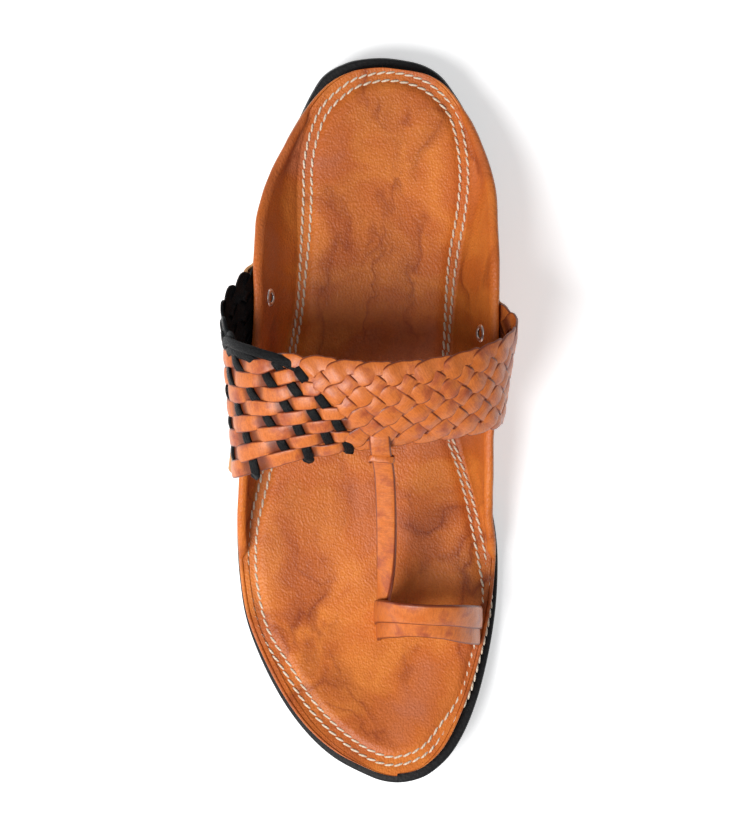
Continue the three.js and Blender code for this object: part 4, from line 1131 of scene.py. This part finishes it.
def make_stitches():
    parts = []
    for loop, phase in ((outer_row, 0.0), (inner_row, 0.5)):
        closed = np.vstack([loop, loop[:1]])
        run = run_along(closed)
        count = int(run[-1] / STITCH_PITCH)
        pitch = run[-1] / count
        t = np.linspace(0, 1, STITCH_RINGS)
        for start in (np.arange(count) + phase) * pitch:
            at = (start + (t - 0.5) * pitch * STITCH_SHARE) % run[-1]
            x, y = np.interp(at, run, closed[:, 0]), np.interp(at, run, closed[:, 1])
            ahead = unit(np.array([x[-1] - x[0], y[-1] - y[0]]))
            slant = (t - 0.5) * STITCH_SLANT
            x, y = x - ahead[1] * slant, y + ahead[0] * slant
            z = sole_top(y) + floor_height(x, y) + 0.42 * np.sin(math.pi * t) ** 0.6 - 0.12
            centre = np.stack([x, y, z], 1)
            forward = unit(np.gradient(centre, axis=0))
            side = unit(np.cross([0, 0, 1.0], forward))
            up = np.cross(forward, side)
            radius = STITCH_RADIUS * np.sqrt(np.clip(1 - (2 * t - 1) ** 4, 0.12, 1))
            angle = np.linspace(0, 2 * math.pi, STITCH_SIDES, endpoint=False)
            wide, tall = np.cos(angle)[None, :, None], np.sin(angle)[None, :, None] * 0.85
            ring = side[:, None] * wide + up[:, None] * tall
            vertices, faces = tube(centre[:, None] + ring * radius[:, None, None])
            run_values = np.repeat(t * pitch, STITCH_SIDES) + 0.1
            parts.append((vertices, faces, {"run": run_values, "side": np.tile(angle, STITCH_RINGS) + 0.1}))
    return parts


piece("stitching", make_stitches(), *THREAD, sharp=60)

# Rivets
RIVETS = [
    ("rivet_lateral_front", LATERAL, 0.496, 0.489), ("rivet_lateral_rear", LATERAL, 0.331, 0.657),
    ("rivet_medial_front", MEDIAL, 0.469, 0.566), ("rivet_medial_rear", MEDIAL, 0.381, 0.657),
]
RIVET_SIDES = 48
# Profiles are (radius, height): the cap's from its seat, the eyelet's from its end inside the shoe
RIVET_SEAT = 0.45
CAP = [
    (0.05, 0), (4.6, 0), (4.95, 0.15), (5.0, 0.5), (4.9, 0.85), (4.6, 1.1), (4.0, 1.24), (2.5, 1.3),
    (0.05, 1.32),
]
EYELET = [
    (1.3, 2.2), (1.7, -0.5), (1.85, -0.75), (2.2, -0.95), (2.8, -0.85), (3.3, -0.5), (3.5, -0.05), (3.2, 0.1),
    (1.9, 0.2),
]


def rivet_frame(side, share, up):
    y = float(along(share))
    height = up * FACING_HEIGHT

    def place(dy, dh):
        x = float(facing_face(side, y + dy, height + dh)) + side * FACING_WALL
        return np.array([x, y + dy, float(sole_top(y + dy)) + height + dh])

    out = unit(np.cross(place(2, 0) - place(-2, 0), place(0, 2) - place(0, -2)))
    out = out if out[0] * side > 0 else -out
    depth = FACING_WALL + FACING_GAP + float(pocket_depth(side, y, height)) + WING_WALL
    return place(0, 0), out, depth * abs(out[0])


def lathe(profile, point, out):
    first = unit(np.cross(out, [0.0, 1.0, 0.0]))
    second = np.cross(out, first)
    angle = np.linspace(0, 2 * math.pi, RIVET_SIDES, endpoint=False)
    wheel = np.cos(angle)[:, None] * first + np.sin(angle)[:, None] * second
    rings = np.array([point + wheel * r + out * z for r, z in profile])
    return tube(rings)


for name, side, share, up in RIVETS:
    point, out, stack = rivet_frame(side, share, up)
    high, low = RIVET_SEAT, -stack - RIVET_SEAT
    cap = [(radius, high + z) for radius, z in CAP]
    vertices, faces = lathe([(radius, low + z) for radius, z in EYELET] + [(1.9, high)], point, out)
    # The hole's wall and its end take the black rubber material as painted shade inside the hole
    hole_shade = np.zeros(len(faces))
    hole_shade[:RIVET_SIDES] = 1
    hole_shade[-2] = 1
    piece(
        name + "_metal", [lathe(cap, point, out), (vertices, faces, {"mark": hole_shade})],
        *METAL, [name], sharp=40, second=rubber_and_hole_shade,
    )


# Floor, light and camera
def soft_light(name, place, target, size, power):
    data = bpy.data.lights.new(name, "AREA")
    data.shape = "DISK"
    data.size = size
    data.energy = power
    light = new_object(name, data)
    light.location = place
    light.rotation_mode = "QUATERNION"
    light.rotation_quaternion = (Vector(target) - Vector(place)).to_track_quat("-Z", "Y")


def make_floor():
    g = Graph("floor_pale")
    shade = g.noise(g.place(1.0), 3.0, 2.0)
    colour = g.ramp(shade, [(0.3, (0.86, 0.86, 0.865)), (0.7, (0.88, 0.88, 0.88))])
    material = g.finish(colour, 0.85, Emission_Color=(1, 1, 1, 1), Emission_Strength=0.5)
    mesh = bpy.data.meshes.new("floor")
    corners = [(x, y, -0.0004) for x, y in ((-4, -4), (4, -4), (4, 4), (-4, 4))]
    mesh.from_pydata(corners, [], [(0, 1, 2, 3)])
    mesh.materials.append(material)
    floor = new_object("floor", mesh)


make_floor()
world = bpy.data.worlds.new("studio")
world.use_nodes = True
background = world.node_tree.nodes["Background"]
background.inputs[0].default_value = (0.93, 0.96, 1.0, 1)
background.inputs[1].default_value = 0.15
bpy.context.scene.world = world
middle = (0.0, 0.1025, 0.03)
soft_light("key", (0.60, 0.60, 1.12), middle, 0.78, 23)
soft_light("fill", (-0.7, 0.2, 1.2), middle, 1.0, 1.6)
soft_light("back", (0.1, -0.9, 1.0), middle, 0.8, 0.8)

camera_data = bpy.data.cameras.new("camera")
camera_data.lens = 300
camera_data.sensor_width = 36
camera_data.clip_end = 20
camera = new_object("camera", camera_data)
camera.location = (0.0035, 0.1025, 2.62)
camera.rotation_euler = (0, 0, math.pi)
bpy.context.scene.camera = camera

bpy.context.scene.view_settings.view_transform = "Standard"
